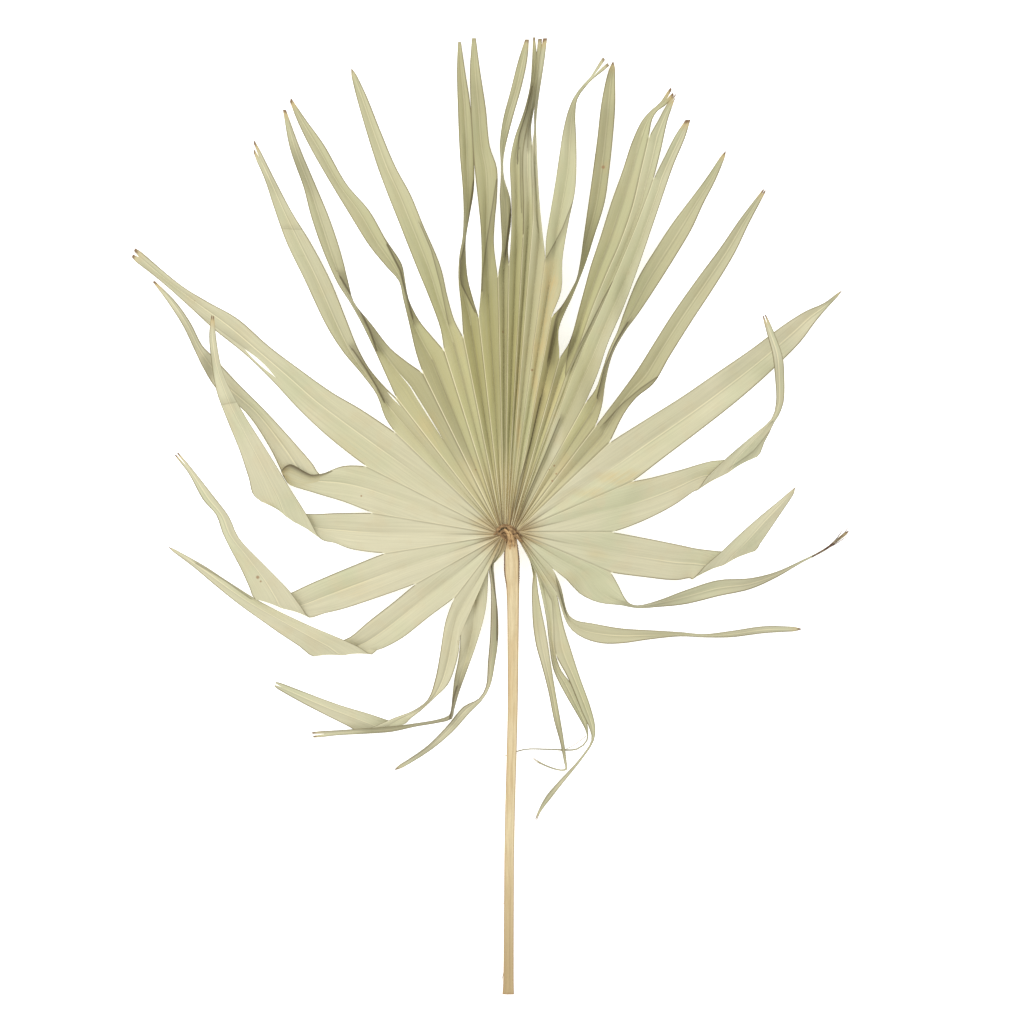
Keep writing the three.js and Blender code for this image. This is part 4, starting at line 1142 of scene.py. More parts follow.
    def seam(self, index: int, end: np.ndarray) -> np.ndarray:
        """Lays a seam from the ring to its end.

        Args:
            index: the seam's number.
            end: where it ends.

        Returns:
            Its points, one for each palm row.
        """
        start, share = self.ring_point(index), self.shares()[:, None]
        points = start + (end - start) * share
        points[:, 2] = start[2] + (end[2] - start[2]) * share[:, 0] ** self.sag
        bulge = {0: self.bulges[0], len(SEGMENTS): self.bulges[1]}.get(index, 0)
        points[:, 0] += bulge * np.sin(math.pi * share[:, 0])
        return points

    def pleat(self, depth: np.ndarray) -> np.ndarray:
        """A pleat's depth, with the deepest ones flattened by drying."""
        limit, share = self.flatten
        return np.minimum(depth, limit) + np.maximum(depth - limit, 0) * share

    def marks(self, segment: Segment, seam_a: np.ndarray, seam_b: np.ndarray) -> tuple:
        """Lists what a segment's free part passes through, from its last palm rows to the tip.

        Args:
            segment: the segment.
            seam_a: the points of its seam on edge A.
            seam_b: those on edge B.

        Returns:
            Edge A's points, edge B's points, and the pleats there.
        """
        edge_a = [seam_a[-2], seam_a[-1]]
        edge_b = [seam_b[-2], seam_b[-1]]
        pleats = [segment.pleat, segment.pleat]
        for ax, ay, bx, by, z, lift, pleat in segment.path:
            edge_a.append(on_board(ax, ay, z + lift / 2))
            edge_b.append(on_board(bx, by, z - lift / 2))
            pleats.append(pleat)
        return np.array(edge_a), np.array(edge_b), pleats

    def free_rows(self, index: int, marks: tuple, rows_before: dict) -> dict:
        """Builds one segment's rows past its seams.

        Args:
            index: the segment's number.
            marks: its edges' points and pleats.
            rows_before: the rows of the segment before, whose edge B it may share.

        Returns:
            Arrays a, b and pleat with one entry for each row.
        """
        edge_a, edge_b, pleats = marks
        joined = SEGMENTS[index].joined
        rows_a, rows_b, rows_pleat = [], [], []
        for span in range(1, len(edge_a) - 1):
            reach = sum(np.linalg.norm(edge[span + 1] - edge[span]) for edge in (edge_a, edge_b)) / 2
            steps = max(2, round(reach / self.row_step))
            if span <= max(joined, joined_after(index)):
                steps = self.shared_steps
            if span == len(edge_a) - 2:
                steps += 6
            shares = np.arange(1, steps + 1) / steps
            rows_a.append(curve_span(edge_a, span, shares))
            rows_b.append(curve_span(edge_b, span, shares))
            rows_pleat.append(pleats[span] + (pleats[span + 1] - pleats[span]) * shares)
        rows = {"a": np.vstack(rows_a), "b": np.vstack(rows_b), "pleat": np.concatenate(rows_pleat)}
        held = joined * self.shared_steps
        if held:
            rows["a"][:held] = rows_before["b"][:held]
        return rows

    def strip(self, index: int, seam_a: np.ndarray, seam_b: np.ndarray, rows_before: dict) -> dict:
        """Builds one segment's grid, and what its finish needs to know at each point.

        Args:
            index: the segment's number.
            seam_a: the points of its seam on edge A.
            seam_b: those on edge B.
            rows_before: the free rows of the segment before.

        Returns:
            points, the grid as rows by columns; strip, lay, tint and fold, the finish's vectors in
            the same layout; rows, the free rows; palm, how many rows lie in the palm; and tears.
        """
        segment = SEGMENTS[index]
        rows = self.free_rows(index, self.marks(segment, seam_a, seam_b), rows_before)
        edge_a = np.vstack([seam_a, rows["a"]])
        edge_b = np.vstack([seam_b, rows["b"]])
        palm = len(seam_a)
        middle = (edge_a + edge_b) / 2
        run = np.gradient(middle, axis=0)
        up = unit(np.cross(edge_b - edge_a, run))
        blend = smooth_step(0, 6, np.arange(len(up)) - palm + 1)[:, None]
        up = unit(up * blend + np.array([0, 0, 1]) * (1 - blend))
        width = np.linalg.norm(edge_b - edge_a, axis=1)
        growth = np.maximum(0.06, self.shares())
        depth = self.pleat(np.concatenate([segment.pleat * growth, rows["pleat"]]))
        near_hub = np.minimum(1.0, np.arange(palm) / 4) * np.minimum(0.42 * width[:palm], 1.9)
        depth[:palm] = np.maximum(depth[:palm], near_hub)
        midrib = middle - up * depth[:, None]
        length = np.concatenate([[0], np.cumsum(np.linalg.norm(np.diff(middle, axis=0), axis=1))])
        points, half = self.cross_rows(index, edge_a, midrib, edge_b, up, length)
        to_tip = length[-1] - length
        points = self.shape_tip(points, to_tip, segment)
        start = np.linalg.norm(middle[0, :2] - on_board(*self.ring[:2], 0)[:2])
        shape = points.shape[:2]
        signed = np.concatenate([-1 + np.array(self.halves), 1 - np.array(self.halves)[-2::-1]])
        across = signed[None, :] * half
        along = np.broadcast_to((length + start)[:, None], shape)
        held = np.where(signed < 0, segment.joined, joined_after(index)) * self.shared_steps + palm
        # How strong the painted shade beside a held seam is, or FREE_EDGE where the edge is free.
        crease_shade = np.where(np.arange(len(half))[:, None] < held, 0.5 + 0.35 * segment.olive, FREE_EDGE)
        columns = {"strip": (across, along, to_tip[:, None]),
                   "lay": (half, float(index), crease_shade),
                   "tint": self.tints(index, points, along, to_tip, width),
                   "fold": (*self.bends(index, points), segment.dry)}
        made = {key: np.stack([np.broadcast_to(part, shape) for part in parts], axis=-1)
                for key, parts in columns.items()}
        return {**made, "points": points, "rows": rows, "palm": palm,
                "tears": self.tears(segment, along[:, 0], to_tip)}

    def cross_rows(self, index: int, edge_a: np.ndarray, midrib: np.ndarray, edge_b: np.ndarray,
                   up: np.ndarray, length: np.ndarray) -> tuple:
        """Fills each row with columns, arched between edge and midrib and gently cockled.

        Args:
            index: the segment's number.
            edge_a: the points of edge A, one for each row.
            midrib: those of the midrib.
            edge_b: those of edge B.
            up: the sheet's normal at each row.
            length: how far each row lies from the first.

        Returns:
            The points as rows by columns, and the half width at each of them.
        """
        halves = np.array(self.halves)
        wide_a = np.linalg.norm(edge_a - midrib, axis=1)
        wide_b = np.linalg.norm(edge_b - midrib, axis=1)
        phase = index * 2.4
        wave = np.sin(length / 7.1 + phase) * 0.5 + np.sin(length / 13.7 + phase * 1.7) * 0.8
        lift = 4 * halves * (1 - halves)
        crest = np.where(halves == 1, 1.0, 0.0)
        sides = []
        for edge, wide, sign in ((edge_a, wide_a, 1), (edge_b, wide_b, -1)):
            room = np.minimum(1, wide / 8)
            flat = edge[:, None] + (midrib - edge)[:, None] * halves[None, :, None]
            rise = lift[None] * (self.arch * wide + self.cockle * wave * sign * room)[:, None]
            rise = rise + crest[None] * self.rib * room[:, None]
            sides.append(flat + up[:, None] * rise[..., None])
        points = np.concatenate([sides[0], sides[1][:, -2::-1]], axis=1)
        half = np.concatenate([np.repeat(wide_a[:, None], len(halves), 1),
                               np.repeat(wide_b[:, None], len(halves) - 1, 1)], axis=1)
        return points, half

    def shape_tip(self, points: np.ndarray, to_tip: np.ndarray, segment: Segment) -> np.ndarray:
        """Draws a forked tip into two prongs, and rounds off a single one that isn't blunt.

        Args:
            points: the segment's grid.
            to_tip: how far each row lies from the tip.
            segment: the segment.

        Returns:
            The grid with its tip shaped.
        """
        middle = len(self.halves) - 1
        made = points.copy()
        if segment.fork:
            reach = np.clip(1 - to_tip / segment.fork, 0, 1)[:, None, None]
            for lobe in (slice(0, middle), slice(middle + 1, 2 * middle + 1)):
                centre = points[:, lobe].mean(axis=1, keepdims=True)
                made[:, lobe] = centre + (points[:, lobe] - centre) * (1 - 0.5 * reach**1.3)
        elif not segment.blunt:
            keep = np.clip(to_tip / 7, 0, 1)[:, None, None] ** 0.7 * 0.8 + 0.2
            centre = points[:, middle:middle + 1]
            made = centre + (points - centre) * keep
        return made

    def tears(self, segment: Segment, along: np.ndarray, to_tip: np.ndarray) -> list:
        """Lists the slits of a segment.

        Args:
            segment: the segment.
            along: how far each row lies from the hub.
            to_tip: how far it lies from the tip.

        Returns:
            Each slit as its column, its rows, and half the opening at each row, or FORKED.
        """
        found = []
        for column, start, end, width in segment.tears:
            rows = np.flatnonzero((along > start) & (along < end))
            share = (along[rows] - start) / (end - start)
            found.append((column, rows, width / 2 * np.sin(math.pi * share) ** 0.6))
        rows = np.flatnonzero(to_tip < segment.fork)
        if len(rows):
            found.append((len(self.halves) - 1, rows, np.full(len(rows), FORKED)))
        return found

    def tints(self, index: int, points: np.ndarray, along: np.ndarray, to_tip: np.ndarray,
              width: np.ndarray) -> tuple:
        """Works out the tissue's tints and its painted shade.

        Args:
            index: the segment's number.
            points: its grid.
            along: the distance from the hub at each point.
            to_tip: the distance from the tip at each row.
            width: the segment's width at each row.

        Returns:
            How olive and how stained the tissue is at each point, and how dark the painted shade on it is.
        """
        segment = SEGMENTS[index]
        olive = segment.olive * (1 - 0.25 * smooth_step(260, 420, along))
        olive = olive * (0.75 + 0.25 * smooth_step(40, 170, along))
        olive = olive - self.patches(self.cools, points) * (0.35 + segment.olive)
        free = along[:, 0] > 100
        widest = max(8.0, float(np.max(width[free]))) if free.any() else 8.0
        # Painted shade where the segment twists to a narrow neck, and in the shade patches.
        neck = smooth_step(0.5, 0.16, width / widest) * smooth_step(28, 60, to_tip)
        neck = neck * smooth_step(95, 140, along[:, 0]) * dict(self.twists).get(index, 0)
        dark = np.maximum(0.75 * neck[:, None], self.patches(self.shades, points))
        return olive, self.patches(self.stains, points), dark

    @staticmethod
    def patches(spots: tuple, points: np.ndarray) -> np.ndarray:
        """Lays soft oval patches on the board.

        Args:
            spots: the patches as X, Y, half width, half height and strength.
            points: a segment's grid.

        Returns:
            The strongest patch's strength at each point.
        """
        strength = np.zeros(points.shape[:2])
        for x, y, wide, tall, most in spots:
            centre = on_board(x, y, 0)
            far = np.hypot((points[..., 0] - centre[0]) / wide, (points[..., 1] - centre[1]) / tall)
            strength = np.maximum(strength, most * (1 - smooth_step(0.3, 1.25, far)))
        return strength

    def bends(self, index: int, points: np.ndarray) -> tuple:
        """Finds the nearest fold of a segment at each of its points, for the painted shade line along it.

        Args:
            index: the segment's number.
            points: its grid.

        Returns:
            The distance to the fold, in line widths and signed by its side, and the strength of its painted
            shade.
        """
        away = np.full(points.shape[:2], 30.0)
        strength = np.zeros(points.shape[:2])
        for number, bent, wide, *line in self.folds:
            if number != index:
                continue
            places = np.array([on_board(x, y, 0)[:2] for x, y in line])
            last = len(places) - 2
            for span, (start, end) in enumerate(zip(places[:-1], places[1:])):
                run = end - start
                offset = points[..., :2] - start
                share = (offset @ run) / (run @ run)
                over = np.maximum(-share if span == 0 else 0, share - 1 if span == last else 0)
                fade = 1 - smooth_step(0, self.fading, over * np.linalg.norm(run))
                gap = offset - np.clip(share, 0, 1)[..., None] * run
                side = np.sign(run[0] * offset[..., 1] - run[1] * offset[..., 0])
                reach = np.linalg.norm(gap, axis=-1) / wide
                closer = reach < np.abs(away)
                away = np.where(closer, reach * np.where(side == 0, 1, side), away)
                strength = np.where(closer, bent * fade, strength)
        return away, strength

    def build(self) -> bpy.types.Object:
        """Builds the whole sheet, gives it its thickness and dresses it.

        Returns:
            The blade.
        """
        ends = [FIRST_SEAM] + [segment.seam for segment in SEGMENTS]
        seams = [self.seam(index, on_board(*end)) for index, end in enumerate(ends)]
        points, quads = [], []
        corners = {"strip": [], "lay": [], "tint": [], "fold": []}
        count, rows_before, ids_before = 0, {}, None
        for index, segment in enumerate(SEGMENTS):
            made = self.strip(index, seams[index], seams[index + 1], rows_before)
            lips = self.open_tears(made["points"], made["tears"])
            shared = made["palm"] + segment.joined * self.shared_steps
            ids, fresh = self.number(made["points"].shape[:2], count, ids_before, shared)
            points.append(made["points"][fresh])
            count += int(fresh.sum())
            right = ids.copy()
            for (column, rows, _), lip in zip(made["tears"], lips):
                right[rows, column] = count + np.arange(len(rows))
                points.append(lip)
                count += len(rows)
            quads.append(self.cells(right, ids)[..., 0])
            for key, store in corners.items():
                store.append(self.cells(made[key], made[key]))
            rows_before, ids_before = made["rows"], ids
        return self.thicken(np.vstack(points), np.vstack(quads),
                            {key: np.vstack(store) for key, store in corners.items()})

    @staticmethod
    def open_tears(grid: np.ndarray, tears: list) -> list:
        """Moves the left lip of every slit in the grid.

        Args:
            grid: the segment's points, which change.
            tears: its slits as column, rows and half the opening.

        Returns:
            The points of the right lips, slit by slit.
        """
        lips = []
        for column, rows, opening in tears:
            here, left, right = grid[rows, column], grid[rows, column - 1], grid[rows, column + 1]
            forked = (opening < 0)[:, None]
            room = np.maximum(opening, 0)[:, None]
            lips.append(np.where(forked, right + (here - right) * 0.1, here + unit(right - here) * room))
            moved = here + unit(left - here) * room
            grid[rows, column] = np.where(forked, left + (here - left) * 0.1, moved)
        return lips

    @staticmethod
    def number(shape: tuple, count: int, ids_before: np.ndarray, shared: int) -> tuple:
        """Numbers a segment's points, taking the first column's from its neighbour where they meet.

        Args:
            shape: the grid's rows and columns.
            count: the first free number.
            ids_before: the neighbour's numbers, or None for the first segment.
            shared: how many rows the two share.

        Returns:
            The numbers, and which of them are new.
        """
        ids = np.zeros(shape, dtype=int)
        fresh = np.ones(shape, dtype=bool)
        if ids_before is not None:
            ids[:shared, 0] = ids_before[:shared, -1]
            fresh[:shared, 0] = False
        ids[fresh] = count + np.arange(int(fresh.sum()))
        return ids, fresh

    @staticmethod
    def cells(right: np.ndarray, left: np.ndarray) -> np.ndarray:
        """Gathers the corners of every cell of a grid, from edge A to edge B and outwards.

        Args:
            right: what a cell finds at its edge A side, with one row of values for each point.
            left: what it finds at its edge B side.

        Returns:
            Four corners with their values for each cell.
        """
        if right.ndim == 2:
            right, left = right[..., None], left[..., None]
        quads = np.stack([right[:-1, :-1], left[:-1, 1:], left[1:, 1:], right[1:, :-1]], axis=2)
        return quads.reshape(-1, 4, right.shape[-1])

    def offsets(self, points: np.ndarray, quads: np.ndarray) -> np.ndarray:
        """Works out half the thickness at each point, along the mean normal of the cells round it.

        Args:
            points: the sheet's points.
            quads: its cells as numbers of points.

        Returns:
            One offset for each point.
        """
        corner = points[quads]
        normals = unit(np.cross(corner[:, 2] - corner[:, 0], corner[:, 3] - corner[:, 1]))
        total = np.zeros_like(points)
        for place in range(4):
            np.add.at(total, quads[:, place], normals)
        total = unit(total)
        least = np.ones(len(points))
        for place in range(4):
            slope = np.abs((total[quads[:, place]] * normals).sum(axis=1))
            np.minimum.at(least, quads[:, place], slope)
        return total * (self.thickness / 2 / np.maximum(self.steepest, least))[:, None]

    def thicken(self, points: np.ndarray, quads: np.ndarray, corners: dict) -> bpy.types.Object:
        """Closes the sheet with an under face and a wall along every open edge.

        Args:
            points: the sheet's points.
            quads: its cells as numbers of points.
            corners: the finish's vectors at the corners of each cell.

        Returns:
            The blade.
        """
        offsets = self.offsets(points, quads)
        count = len(points)
        starts = quads.ravel()
        stops = np.roll(quads, -1, axis=1).ravel()
        is_open = ~np.isin(starts * count + stops, stops * count + starts)
        rim = np.flatnonzero(is_open)
        turn = rim - rim % 4 + (rim + 1) % 4
        walls = np.stack([starts[rim], starts[rim] + count, stops[rim] + count, stops[rim]], axis=1)
        faces = np.vstack([quads, quads[:, ::-1] + count, walls])
        made = make_object("leaf_blade", np.vstack([points + offsets, points - offsets]), faces,
                           LeafTissue().build())
        for key, values in corners.items():
            flat = values.reshape(-1, values.shape[-1])
            wall = np.stack([flat[rim], flat[rim], flat[turn], flat[turn]], axis=1)
            write_vectors(made.data, key, "CORNER", np.vstack([values, values[:, ::-1], wall]))
        install(made, Slot.BLADE, "blade")
        return made


@dataclass
class RolledLip:
    """The end of one segment's front part, rolled up where it turns under and away.

    Attributes:
        rows: from right to left, each as the rolled edge's board X and Y, the lower edge's X and Y,
            and the height of both.
        curl: how far the rolled edge stands up.
        steps: rows to a span.
        across: columns from the lip to the lower edge.
        thickness: of the tissue.
    """

    rows: tuple = (
        (350, 465.8, 350, 466.6, 18.6, 18.0), (340, 468.4, 339, 472.5, 18.6, 16.6),
        (330, 471.6, 327, 479, 18.4, 15.2),
        (320, 474.2, 316, 484, 18, 14.8), (312, 474.6, 308, 486.8, 17.8, 14.8),
        (304, 470.8, 300, 487.4, 17.8, 15.2),
        (297, 466.6, 294, 486.4, 17.6, 15.6), (291, 464.4, 290, 484.6, 17.4, 15.8),
        (286.4, 466.4, 287.4, 481, 17.2, 15.8), (283, 470, 285, 476, 17, 16.2),
        (282, 472, 283.4, 474.4, 16.8, 16.6),
    )
    curl: float = 2.4
    steps: int = 6
    across: int = 14
    thickness: float = 0.36

    def build(self) -> bpy.types.Object:
        """Builds the lip in the blade's own finish.

        Returns:
            The lip.
        """
        rows = smooth_line(self.rows, self.steps)
        points, strip, fold, tint = [], [], [], []
        for under in (0, 1):
            for k, (ex, ey, lx, ly, high, low) in enumerate(rows):
                fade = smooth_step(0, 20, k) * smooth_step(len(rows), len(rows) - 10, k)
                for n in range(self.across + 1):
                    share = n / self.across
                    x, y = ex + (lx - ex) * share, ey + (ly - ey) * share
                    roll = math.sin(math.pi * min(1.0, share * 3.2)) * self.curl * float(fade)
                    z = high + (low - high) * share + roll - 0.6 * smooth_step(0.7, 1, share)
                    points.append(on_board(x, y, z - under * self.thickness))
                    strip.append((3.0 + 9 * share, 190.0 - k, 60.0))
                    # A painted shade line along the rolled edge, and painted shade that fades away from it;
                    # the stain is the tissue's own.
                    fold.append((-4 * share, 1.0, 0.3))
                    stain = 0.3 + 0.65 * float(smooth_step(30, 58, k)) * (1 - 0.5 * share)
                    tint.append((0.08, stain, 0.3 * (1 - share) ** 3))
        faces = []
        close_sheet(faces, 0, len(rows), self.across + 1)
        made = make_object("rolled_lip", np.array(points), faces, bpy.data.materials["leaf_tissue"])
        total = len(points)
        write_vectors(made.data, "strip", "POINT", np.array(strip))
        # lay: half width, a number of its own, and the strength of the painted shade beside a seam.
        write_vectors(made.data, "lay", "POINT", np.tile((14.0, 6.0, 0.3), (total, 1)))
        write_vectors(made.data, "tint", "POINT", np.array(tint))
        write_vectors(made.data, "fold", "POINT", np.array(fold))
        install(made, Slot.BLADE)
        return made


@dataclass
class Petiole:
    """The stalk: a lofted body with a flat underside, and its marginal teeth.

    Attributes:
        stations: board Y, board X of the middle, width, height of the underside and thickness.
        section: shares of half the width and of the thickness, round the stalk.
        steps: rows to a span.
        round_steps: points to a span of the section.
        teeth: how many teeth stand on each margin, and from which to which board Y.
        lowest: the least height of the underside above the floor.
    """

    stations: tuple = (
        (524.5, 509.5, 7, 19.5, 3), (527, 509.5, 13, 18.6, 5.0), (531, 510, 15, 17.6, 6.8),
        (536, 511, 11, 16.8, 8.4), (541, 511.6, 11, 16.3, 9.2), (549, 511.4, 13.8, 16, 8.9),
        (560, 511.8, 15.3, 15.4, 8.4), (574, 511.9, 15, 14.8, 8.1), (584, 512.6, 13.2, 14.3, 7.9),
        (600, 513, 12, 13.5, 7.6),
        (650, 513, 10.8, 11.2, 7), (700, 512.8, 10, 9, 6.8), (750, 511.7, 9.8, 6.8, 6.7),
        (800, 510.3, 9.7, 4.8, 6.6), (850, 509.3, 9.6, 2.7, 6.6), (890, 509, 9.7, 1, 6.6),
        (920, 508.8, 9.8, 0.05, 6.8), (960, 508.6, 10, 0.02, 7), (985, 508.4, 10.6, 0.02, 7.4),
        (993.6, 508.2, 11.6, 0.02, 7.8),
    )
    section: tuple = (
        (-0.34, 0), (0.34, 0), (0.72, 0.2), (0.94, 0.5), (1, 0.78), (0.8, 0.93), (0.42, 0.9), (0, 1),
        (-0.42, 0.9), (-0.8, 0.93), (-1, 0.78), (-0.94, 0.5), (-0.72, 0.2),
    )
    steps: int = 8
    round_steps: int = 4
    teeth: tuple = (20, 546, 584)
    lowest: float = 0.02

    def outline(self) -> np.ndarray:
        """Rounds the section.

        Returns:
            The points of a smooth closed line.
        """
        loop = list(self.section[-2:]) + list(self.section) + list(self.section[:2])
        line = smooth_line([(x, y, 0) for x, y in loop], self.round_steps)
        return np.maximum(line[2 * self.round_steps:-2 * self.round_steps - 1, :2], (-1.02, 0))

    def build(self) -> bpy.types.Object:
        """Builds the stalk and its teeth.

        Returns:
            The stalk.
        """
        outline = self.outline()
        rows = smooth_line(self.stations, self.steps)
        rows[:, 3] = np.maximum(rows[:, 3], self.lowest)
        sides = len(outline)
        points, strip = [], []
        for y, x, width, under, thick in rows:
            for across, up in outline:
                points.append(on_board(x + across * width / 2, y, under + up * thick))
                margin = smooth_step(0.8, 0.9, abs(across)) * smooth_step(592, 578, y)
                strip.append((across, y - self.stations[0][0], float(margin * smooth_step(540, 548, y))))
        faces = []
        for row in range(len(rows) - 1):
            for k in range(sides):
                here, on = row * sides + k, row * sides + (k + 1) % sides
                faces.append((here, on, on + sides, here + sides))
        last = (len(rows) - 1) * sides
        faces.append(tuple(range(sides))[::-1])
        faces.append(tuple(last + k for k in range(sides)))
        made = make_object("petiole_stalk", np.array(points), faces, StalkFibre().build())
        write_vectors(made.data, "strip", "POINT", np.array(strip))
        install(made, Slot.PETIOLE, "petiole")
        self.build_teeth(rows)
        return made

    def build_teeth(self, rows: np.ndarray) -> None:
        """Sets small dark teeth along both margins below the hastula.

        Args:
            rows: the stalk's rows, laid out as its stations are.
        """
        rng = np.random.default_rng(7)
        count, first, last = self.teeth
        points, faces = [], []
        for side in (-1, 1):
            for k in range(count):
                y = first + (last - first) * (k + rng.uniform(-0.3, 0.3)) / count
                x, width, under, thick = (np.interp(y, rows[:, 0], rows[:, n]) for n in (1, 2, 3, 4))
                reach = rng.uniform(0.2, 0.7)
                root = on_board(x + side * (width / 2 - 0.35), y, under + thick * 0.78)
                lean = (rng.uniform(-0.2, 0.9), rng.uniform(-0.1, 0.25))
                tip = root + np.array([side * (reach + 0.35), *lean])
                ring = [root + np.array([0, 0.75 * math.cos(a), 0.45 * math.sin(a)])
                        for a in np.arange(6) * math.pi / 3 * side]
                start = len(points)
                points += ring + [tip]
                faces += [(start + n, start + (n + 1) % 6, start + 6) for n in range(6)]
                faces.append(tuple(start + n for n in range(6))[::-1])
        teeth = make_object("petiole_teeth", np.array(points), faces,
                            CrestFibre("tooth_fibre", (0.20, 0.10, 0.05), (0.06, 0.03, 0.02)).build())
        install(teeth, Slot.PETIOLE)


@dataclass
class Hastula:
    """The crest on the petiole's head: twisted ridges of torn fibre round the foot of the pleats.

    Attributes:
        ridges: each as its points with board X, Y, height and radius.
        cords: the paler fibres that run down on to the stalk's head, in the same way.
        strands: how many twisted strands make up a ridge.
        sides: how many sides a strand has.
        steps: rows to a span.
        gnarl: how far the surface wanders, as a share of the radius.
        fibres: how many short fibres stand out of the ridges.
    """

    ridges: tuple = (
        ((493.5, 534.5, 27.3, 0.5), (496.4, 532.4, 28.2, 1.2), (498.4, 529.0, 29, 1.6),
         (501.6, 526.2, 29.5, 1.2),
         (506.4, 526.2, 29.6, 1.1), (511, 529, 29.8, 1.8), (514, 532.4, 29.6, 1.9), (516.6, 536, 29, 1.8),
         (519.4, 539.2, 28, 1.5), (522.6, 541.6, 27.2, 0.7)),
        ((497.6, 536, 27.2, 0.5), (500, 533, 28.2, 1.0), (503.4, 530.8, 28.7, 1.2),
         (506.6, 531.6, 28.8, 1.2),
         (508.4, 534.4, 28.2, 1.3), (509, 538, 27.0, 1.2), (509.4, 542, 25.9, 0.7)),
        ((496.5, 530.5, 27.4, 0.5), (499, 532.6, 28.0, 1.2), (501.8, 535.2, 27.5, 1.5),
         (504.8, 538.0, 26.6, 1.6), (506.4, 541.4, 25.8, 0.7)),
        ((497, 528.6, 27.6, 0.4), (501.5, 525.6, 28.2, 0.7), (506, 525, 28.5, 0.8), (510.4, 526, 28.6, 0.8),
         (514.8, 529, 28.5, 0.9), (518.6, 533.4, 28.1, 0.9), (522, 537.4, 27.2, 0.5)),
    )
    cords: tuple = (
        ((504, 528.6, 28.8, 0.6), (506.6, 531, 29.1, 1.2), (508.6, 534.6, 28.8, 1.6),
         (509.6, 539, 27.2, 1.7),
         (510, 544, 26.0, 1.4), (510, 549, 25.0, 0.6)),
        ((509, 530.6, 29.0, 0.6), (511.2, 533.4, 29.0, 1.2), (512.6, 537.4, 28.0, 1.5),
         (513.6, 542, 26.4, 1.4),
         (514, 547, 25.2, 0.6)),
    )
    strands: int = 6
    sides: int = 8
    steps: int = 12
    gnarl: float = 0.6
    fibres: int = 44

    def build(self) -> bpy.types.Object:
        """Builds the ridges, their bed and the fibres as one piece, and the paler cords as another.

        Returns:
            The ridges' piece.
        """
        points, faces = [], []
        for number, ridge in enumerate(self.ridges):
            self.add_ridge(points, faces, ridge, number)
        self.add_bed(points, faces)
        self.add_fibres(points, faces)
        made = make_object("hastula_crest", np.array(points), faces, CrestFibre().build())
        install(made, Slot.HASTULA, "hastula")
        points, faces = [], []
        for number, cord in enumerate(self.cords):
            self.add_ridge(points, faces, cord, number + len(self.ridges))
        head = CrestFibre("head_fibre", (0.620, 0.430, 0.210), (0.300, 0.165, 0.070)).build()
        install(make_object("hastula_cords", np.array(points), faces, head), Slot.HASTULA)
        return made

    def add_ridge(self, points: list, faces: list, ridge: tuple, number: int) -> None:
        """Adds one ridge of gnarled strands that twist round each other.

        Args:
            points: the mesh's points, which grow.
            faces: its faces, which grow.
            ridge: the ridge's points with board X, Y, height and radius.
            number: its number, which makes its gnarls its own.
        """
        rows = smooth_line(ridge, self.steps)
        path = np.array([on_board(x, y, z) for x, y, z, _ in rows])
        run = unit(np.gradient(path, axis=0))
        side = unit(np.cross(run, (0, 0, 1.0)))
        rise = np.cross(side, run)
        for strand in range(self.strands):
            start = len(points)
            for k, centre in enumerate(path):
                around = 2 * math.pi * strand / self.strands + k * 0.06
                spot = Vector((k * 0.06, strand * 3.0, number * 7.0))
                wide = rows[k, 3] * (0.62 + 0.3 * noise.noise(spot))
                middle = centre + wide * (math.cos(around) * side[k] + 0.75 * math.sin(around) * rise[k])
                for n in range(self.sides):
                    angle = 2 * math.pi * n / self.sides
                    spot = Vector((k * 0.12, math.cos(angle) + strand * 4, math.sin(angle) + number * 6))
                    size = rows[k, 3] * 0.42 * (1 + self.gnarl * noise.noise(spot) * 1.6)
                    points.append(middle + size * (math.cos(angle) * side[k] + math.sin(angle) * rise[k]))
            close_tube(faces, start, len(path), self.sides)

    def add_bed(self, points: list, faces: list) -> None:
        """Adds the crumpled tissue between the ridges and the stalk's head.

        Args:
            points: the mesh's points, which grow.
            faces: its faces, which grow.
        """
        start, across, deep = len(points), 26, 18
        for under in (0, 1):
            for j in range(deep + 1):
                for k in range(across + 1):
                    u, v = k / across * 2 - 1, j / deep * 2 - 1
                    x = u * math.sqrt(1 - v * v / 2)
                    y = v * math.sqrt(1 - u * u / 2)
                    coarse = noise.noise(Vector((u * 3.1, v * 1.7, 3)))
                    fold = coarse + 0.4 * noise.noise(Vector((u * 9, v * 5, 8)))
                    top = 27.4 + 0.9 * fold * (1 - max(abs(u), abs(v)) ** 4) - 0.9 * (x * x + y * y)
                    points.append(on_board(508.8 + x * 9.8 + y * 1.2, 533.2 + y * 5.4 + x * 2.0,
                                           top - under * 0.6))
        close_sheet(faces, start, deep + 1, across + 1)

    def add_fibres(self, points: list, faces: list) -> None:
        """Adds short thin fibres that stand out of the ridges.

        Args:
            points: the mesh's points, which grow.
            faces: its faces, which grow.
        """
        rng = np.random.default_rng(11)
        for _ in range(self.fibres):
            ridge = np.array(self.ridges[rng.integers(len(self.ridges))])
            root = ridge[rng.integers(1, len(ridge) - 1)] + np.append(rng.uniform(-1, 1, 2), (0, 0))
            x, y, z, radius = root
            turn = rng.uniform(0, 2 * math.pi)
            reach = rng.uniform(1.5, 4.0)
            line = [(x, y, z + radius * 0.5)]
            for share in (0.5, 1.0):
                bend = turn + rng.uniform(-0.5, 0.5)
                line.append((x + reach * share * math.cos(bend), y + reach * share * math.sin(bend),
                             min(31.2, z + radius * 0.6 + rng.uniform(0, 0.8))))
            add_thread(points, faces, tuple(line), 0.13, 5)


